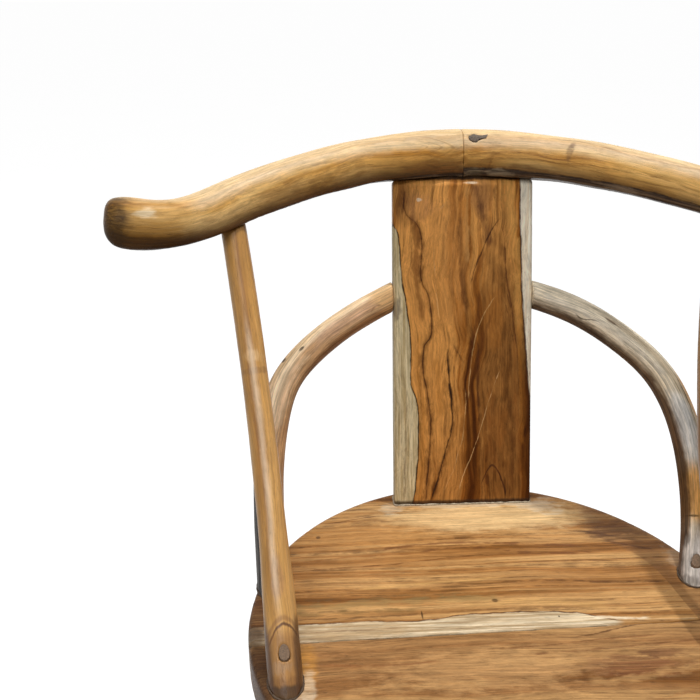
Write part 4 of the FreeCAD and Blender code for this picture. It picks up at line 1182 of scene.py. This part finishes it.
RAIL_ROUTE = (
    (0.0, 0.2577, 0.815), (0.0407, 0.2543, 0.8149), (0.081, 0.241, 0.814), (0.1158, 0.2227, 0.8126),
    (0.1545, 0.1967, 0.8092), (0.187, 0.1722, 0.8049), (0.2152, 0.1498, 0.8003), (0.2345, 0.1346, 0.7962),
    (0.2519, 0.1186, 0.7921), (0.269, 0.1011, 0.7893), (0.2854, 0.0852, 0.7885), (0.3008, 0.0742, 0.7895),
    (0.3149, 0.0685, 0.7915), (0.328, 0.0677, 0.7935), (0.346, 0.0667, 0.7965),
)
POST_RIGHT_ROUTE = ((0.1925, -0.1304, 0.45), (0.2046, 0.0072, 0.6052), (0.2365, 0.1247, 0.7735))
POST_LEFT_ROUTE = ((0.1925, -0.1304, 0.45), (0.2111, 0.0063, 0.6046), (0.2377, 0.1237, 0.7733))
BRACE_RIGHT_ROUTE = (
    (0.0758, 0.2069, 0.6705), (0.1269, 0.1913, 0.6542), (0.1675, 0.1703, 0.6321),
    (0.2016, 0.1438, 0.6044), (0.2186, 0.1143, 0.5735), (0.2239, 0.0807, 0.5382), (0.22, 0.0386, 0.4941),
    (0.2069, -0.0034, 0.45),
)
BRACE_LEFT_ROUTE = (
    (0.0758, 0.2069, 0.6705), (0.1157, 0.1913, 0.6542), (0.1603, 0.168, 0.6297), (0.1918, 0.1417, 0.6021),
    (0.2058, 0.1091, 0.568), (0.2108, 0.0702, 0.5272), (0.2095, 0.0323, 0.4875), (0.2069, -0.0034, 0.45),
)
TOWARDS_SITTER = (0.0, -0.73, 0.69)
UPWARDS = (0.0, 0.0, 1.0)
FORWARDS = (0.0, -1.0, 0.0)


def route(points: tuple[Point, ...], side: int) -> tuple[Point, ...]:
    """Return a route on its own side of the chair: 1 is right, -1 is left."""
    return tuple((side * x, y, z) for x, y, z in points)


def stretched(first: Point, last: Point) -> tuple[Point, ...]:
    """Return a straight route in enough steps for the grain to be read along it."""
    start, end = Vector(first), Vector(last)
    return tuple(tuple(start.lerp(end, index / STRAIGHT_STEPS)) for index in range(STRAIGHT_STEPS + 1))


# Sub-assemblies


@dataclass
class Seat:
    """The two planks of the round seat."""

    voxel: float = 0.0023
    wave_depth: float = 0.0008
    wave_length: float = 0.07
    half_route: float = 0.24

    def build(self, surface: WorkedSurface) -> None:
        """Make both planks."""
        ends = [(side * self.half_route, SEAT_CENTRE_Y, SEAT_TOP) for side in (-1, 1)]
        path = GrainPath(stretched(*ends), UPWARDS, mirrored=True, first=-self.half_route, steps=8)
        for node, finish, seed in (
            ("seat_board_rear", REAR_PLANK_WOOD, 1.0),
            ("seat_board_front", FRONT_PLANK_WOOD, 2.0),
        ):
            piece = WoodPiece(node, path, finish, "seat_wood", self.voxel, self.wave_depth,
                              self.wave_length, seed)
            piece.make(surface)


@dataclass
class Splat:
    """The board of the back, whose front top edge is set back where the rail hides it."""

    voxel: float = 0.0018
    wave_depth: float = 0.0006
    wave_length: float = 0.05
    seed: float = 3.0
    length: float = 0.39
    hidden_edge: Dent = Dent((0.0, 0.010, 0.360), (0.60, 0.009, 0.011), 0.006, (0.0, 1.0, 0.0))

    def build(self, surface: WorkedSurface) -> None:
        """Make the board."""
        ahead = Vector((0.0, math.sin(BACK_LEAN), math.cos(BACK_LEAN)))
        points = stretched(tuple(SPLAT_FOOT), tuple(SPLAT_FOOT + ahead * self.length))
        piece = WoodPiece("splat", GrainPath(points, FORWARDS, steps=8), SPLAT_WOOD, "splat_wood",
                          self.voxel, self.wave_depth, self.wave_length, self.seed,
                          dents=(self.hidden_edge,))
        piece.make(surface)


@dataclass
class ArmRail:
    """The two halves of the rail."""

    voxel: float = 0.0017
    wave_depth: float = 0.0010
    wave_length: float = 0.04
    seed: float = 5.0
    underside: float = -0.0215

    def build(self, surface: WorkedSurface) -> None:
        """Make both halves."""
        for side, node, finish in ((1, "rail_right", RAIL_RIGHT_WOOD), (-1, "rail_left", RAIL_LEFT_WOOD)):
            path = GrainPath(route(RAIL_ROUTE, side), UPWARDS, mirrored=side > 0, lean=RAIL_LEAN, steps=10)
            piece = WoodPiece(node, path, finish, "rail_wood", self.voxel, self.wave_depth,
                              self.wave_length, self.seed + side, rough_below=self.underside)
            piece.make(surface)


@dataclass
class BackSupports:
    """The arm posts and the braces."""

    voxel: float = 0.0018
    wave_depth: float = 0.0009
    wave_length: float = 0.022
    seed: float = 11.0

    def build(self, surface: WorkedSurface) -> None:
        """Make both posts and both braces."""
        for node, points, side, finish, slot in (
            ("arm_post_right", POST_RIGHT_ROUTE, 1, POST_RIGHT_SHADED_WOOD, "post_wood"),
            ("arm_post_left", POST_LEFT_ROUTE, -1, POST_LEFT_WOOD, "post_wood"),
            ("brace_right", BRACE_RIGHT_ROUTE, 1, GREY_BRANCH, "grey_branch_wood"),
            ("brace_left", BRACE_LEFT_ROUTE, -1, TAN_BRANCH, "tan_branch_wood"),
        ):
            path = GrainPath(route(points, side), TOWARDS_SITTER, mirrored=side < 0, steps=12)
            piece = WoodPiece(node, path, finish, slot, self.voxel, self.wave_depth,
                              self.wave_length, self.seed + side)
            piece.make(surface)


@dataclass
class PuttyBeads:
    """Thin uneven beads round the feet that stand on the seat: pale putty round the splat, and dark beads of
    painted shade round the posts and braces.
    """

    feet: tuple[tuple[str, PlainFinish], ...] = (
        ("splat", SPLAT_PUTTY),
        ("arm_post_left", FOOT_BEAD_SHADE),
        ("arm_post_right", FOOT_BEAD_SHADE),
        ("brace_left", FOOT_BEAD_SHADE),
        ("brace_right", FOOT_BEAD_SHADE),
    )
    height: float = 0.0004
    radius: float = 0.0015
    step: float = 0.0020
    seed: float = 3.0
    sides: int = 8
    thinnest: float = 0.35
    lump_repeats: float = 140.0
    lump_detail: float = 3.0
    merge_distance: float = 1e-4

    def build(self) -> None:
        """Lay one bead round each foot."""
        graph = self.graph()
        for index, (node, putty) in enumerate(self.feet):
            # Round the posts and braces the bead's dark finish is painted shade.
            bead = linked(node + "_putty", self.outline(node))
            graph.run(bead, {
                "Radius": self.radius,
                "Step": self.step,
                "Seed": self.seed + index,
                "Material": putty.material(),
            })
            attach(bead, "root")
            LOG.info("%s: %d faces", bead.name, len(bead.data.polygons))

    def outline(self, node: str) -> bpy.types.Mesh:
        """Return the edges along which a node's sides meet the top of the seat."""
        shell = merged_shell(node)
        everything = [*shell.verts, *shell.edges, *shell.faces]
        bmesh.ops.bisect_plane(shell, geom=everything, plane_co=(0.0, 0.0, SEAT_TOP + self.height),
                               plane_no=UPWARDS, clear_inner=True, clear_outer=True)
        bmesh.ops.remove_doubles(shell, verts=shell.verts, dist=self.merge_distance)
        return filled_mesh(node + "_putty", shell)

    def graph(self) -> GeometryGraph:
        """Return the tree that turns an outline into a bead."""
        graph = GeometryGraph("putty_bead", ("Radius", "Step", "Seed"))
        line = graph.node("GeometryNodeMeshToCurve", {0: graph.start["Geometry"]}).outputs[0]
        spacing = {"Curve": line, "Length": graph.start["Step"]}
        even = graph.node("GeometryNodeResampleCurve", spacing, mode="LENGTH").outputs[0]
        place = graph.node("GeometryNodeInputPosition", {}).outputs[0]
        lumps = graph.noise(place, self.lump_repeats, self.lump_detail)
        shares = {0: lumps, 1: 0.35, 2: 0.65, 3: self.thinnest, 4: 1.0}
        radius = graph.times(graph.node("ShaderNodeMapRange", shares).outputs[0], graph.start["Radius"])
        circle = {"Resolution": self.sides, "Radius": 1.0}
        ring = graph.node("GeometryNodeCurvePrimitiveCircle", circle).outputs[0]
        parts = {"Curve": even, "Profile Curve": ring, "Scale": radius}
        graph.close(graph.node("GeometryNodeCurveToMesh", parts).outputs[0])
        return graph


@dataclass
class LegFrame:
    """Legs, battens and stretchers."""

    voxel: float = 0.0024
    wave_depth: float = 0.0006
    wave_length: float = 0.03
    seed: float = 20.0
    leg_inset: float = 0.015
    nodes: tuple[str, ...] = (
        "leg_front_left", "leg_front_right", "leg_rear_left", "leg_rear_right",
        "stretcher_front", "stretcher_left", "stretcher_right", "stretcher_rear",
        "batten_left", "batten_right",
    )

    def build(self, surface: WorkedSurface) -> None:
        """Make every piece below the seat."""
        for index, node in enumerate(self.nodes):
            facing = FORWARDS if node.startswith("leg") else UPWARDS
            path = GrainPath(stretched(*self.axis(node)), facing, steps=6)
            piece = WoodPiece(node, path, FRAME_WOOD, "frame_wood", self.voxel, self.wave_depth,
                              self.wave_length, self.seed + index)
            piece.make(surface)

    def axis(self, node: str) -> tuple[Point, Point]:
        """Return the two ends of a straight piece's axis, from its box.

        Args:
            node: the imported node.

        Returns:
            The two end points.
        """
        low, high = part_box(node)
        middle = (low + high) / 2
        if node.startswith("leg"):
            across = (low.x + self.leg_inset, high.x - self.leg_inset)
            depth = (low.y + self.leg_inset, high.y - self.leg_inset)
            right = middle.x > 0
            rear = middle.y >= 0
            foot = (across[right], depth[rear], low.z)
            head = (across[not right], depth[not rear], high.z)
            return foot, head
        if node in ("stretcher_front", "stretcher_rear"):
            return (low.x, middle.y, middle.z), (high.x, middle.y, middle.z)
        return (middle.x, low.y, middle.z), (middle.x, high.y, middle.z)


@dataclass
class Fastenings:
    """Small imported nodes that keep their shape: dowels, plugs, screws and the filled knot."""

    finishes: tuple[tuple[PlainFinish, tuple[str, ...]], ...] = (
        (DOWEL_WOOD, ("seam_dowels", "rail_dowels", "brace_dowels")),
        (PLUG_WOOD, ("foot_plugs",)),
        (KNOT_PUTTY, ("knot_filler",)),
        (SCREW_STEEL, ("foot_screws", "batten_screws")),
    )

    def build(self) -> None:
        """Give every small node its finish."""
        for finish, nodes in self.finishes:
            for node in nodes:
                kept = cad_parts[node]
                kept.data.materials.clear()
                kept.data.materials.append(finish.material())
                LOG.info("%s keeps its packed shape", node)


# Studio


@dataclass(frozen=True)
class Lamp:
    """Square lamp that points at a place on the chair."""

    name: str
    place: Point
    target: Point
    size: float
    power: float

    def hang(self) -> None:
        """Add the lamp to the scene."""
        data = bpy.data.lights.new(self.name, "AREA")
        data.size = self.size
        data.energy = self.power
        lamp = linked(self.name, data)
        lamp.location = self.place
        lamp.rotation_euler = (Vector(self.target) - Vector(self.place)).to_track_quat("-Z", "Y").to_euler()


@dataclass
class Studio:
    """Floor, light and camera."""

    camera_place: Point = (-0.1672, -0.7161, 1.0010)
    camera_lens: float = 46.29
    film_width: float = 36.0
    look_down: float = 23.04
    look_right: float = 2.79
    nearest: float = 0.05
    farthest: float = 200.0
    floor_size: float = 60.0
    cloth_grey: float = 0.90
    cloth_pale: float = 0.93
    cloth_unseen: float = 0.30
    cloth_repeats: Point = (3, 3, 3)
    glow: float = 1.24
    glow_share: float = 0.75
    ambient: float = 0.24
    lamps: tuple[Lamp, ...] = (
        Lamp("overhead_lamp", (0.64, 0.44, 3.0), (0.0, 0.05, 0.6), 0.10, 30.0),
        Lamp("ceiling_lamp", (-0.3, 0.3, 2.8), (0.0, 0.05, 0.6), 1.1, 20.0),
        Lamp("front_lamp", (-0.8, -2.0, 2.8), (0.0, 0.0, 0.6), 1.4, 28.0),
    )

    def build(self) -> None:
        """Set up everything round the chair."""
        self.camera()
        self.floor()
        self.world()
        for lamp in self.lamps:
            lamp.hang()

    def camera(self) -> None:
        """Place the camera where the photograph was taken from."""
        data = bpy.data.cameras.new("photo_camera")
        data.lens = self.camera_lens
        data.sensor_width = self.film_width
        data.clip_start = self.nearest
        data.clip_end = self.farthest
        camera = linked("photo_camera", data)
        camera.location = self.camera_place
        turn = (90 - self.look_down, 0.0, -self.look_right)
        camera.rotation_euler = Euler([math.radians(angle) for angle in turn])
        bpy.context.scene.camera = camera

    def floor(self) -> None:
        """Lay a white floor that keeps the chair's shadow."""
        half = self.floor_size / 2
        mesh = bpy.data.meshes.new("studio_floor")
        corners = [(-half, -half, 0.0), (half, -half, 0.0), (half, half, 0.0), (-half, half, 0.0)]
        mesh.from_pydata(corners, [], [(0, 1, 2, 3)])
        mesh.materials.append(self.cloth())
        linked("studio_floor", mesh)

    def cloth(self) -> bpy.types.Material:
        """Return the floor's cloth: pale where it is seen, darker where it only lights the chair."""
        graph = FinishGraph(bpy.data.materials.new("studio_floor"))
        seen = self.seen_rays(graph)
        place = graph.node("ShaderNodeTexCoord", {}).outputs["Object"]
        tint = graph.noise(place, self.cloth_repeats, 1.0, 2.0).outputs[0]
        grey, pale, unseen = ((level,) * 3 for level in (self.cloth_grey, self.cloth_pale, self.cloth_unseen))
        colour = graph.mix(graph.ease(tint, 0.3, 0.7), grey, pale)
        matte = graph.node("ShaderNodeBsdfDiffuse", {0: graph.mix(seen, unseen, colour)}).outputs[0]
        glow = graph.node("ShaderNodeEmission", {0: (*WHITE, 1.0), 1: self.glow}).outputs[0]
        share = graph.times(seen, self.glow_share)
        mixed = graph.node("ShaderNodeMixShader", {0: share, 1: matte, 2: glow})
        graph.node("ShaderNodeOutputMaterial", {0: mixed.outputs[0]})
        return graph.owner

    def seen_rays(self, graph: FinishGraph) -> Socket:
        """Return 1 for rays that show the background: camera, glossy and transmission rays."""
        path = graph.node("ShaderNodeLightPath", {}).outputs
        total = graph.plus(path["Is Camera Ray"], path["Is Glossy Ray"])
        return graph.math("ADD", total, path["Is Transmission Ray"], clamp=True)

    def world(self) -> None:
        """Light the room softly from all sides and show it white."""
        world = bpy.data.worlds.new("studio_world")
        bpy.context.scene.world = world
        graph = FinishGraph(world)
        seen = self.seen_rays(graph)
        sides = {0: seen, 1: graph.background(self.ambient), 2: graph.background(1.0)}
        mixed = graph.node("ShaderNodeMixShader", sides)
        graph.node("ShaderNodeOutputWorld", {0: mixed.outputs[0]})


def main() -> None:
    """Dress the chair and set up its studio."""
    logging.basicConfig(level=logging.INFO, format="%(message)s")
    bpy.context.scene.view_settings.view_transform = "Standard"
    Studio().build()
    surface = WorkedSurface()
    for pieces in (Seat(), Splat(), ArmRail(), BackSupports()):
        pieces.build(surface)
    PuttyBeads().build()
    LegFrame().build(surface)
    Fastenings().build()


if __name__ == "__main__":
    main()
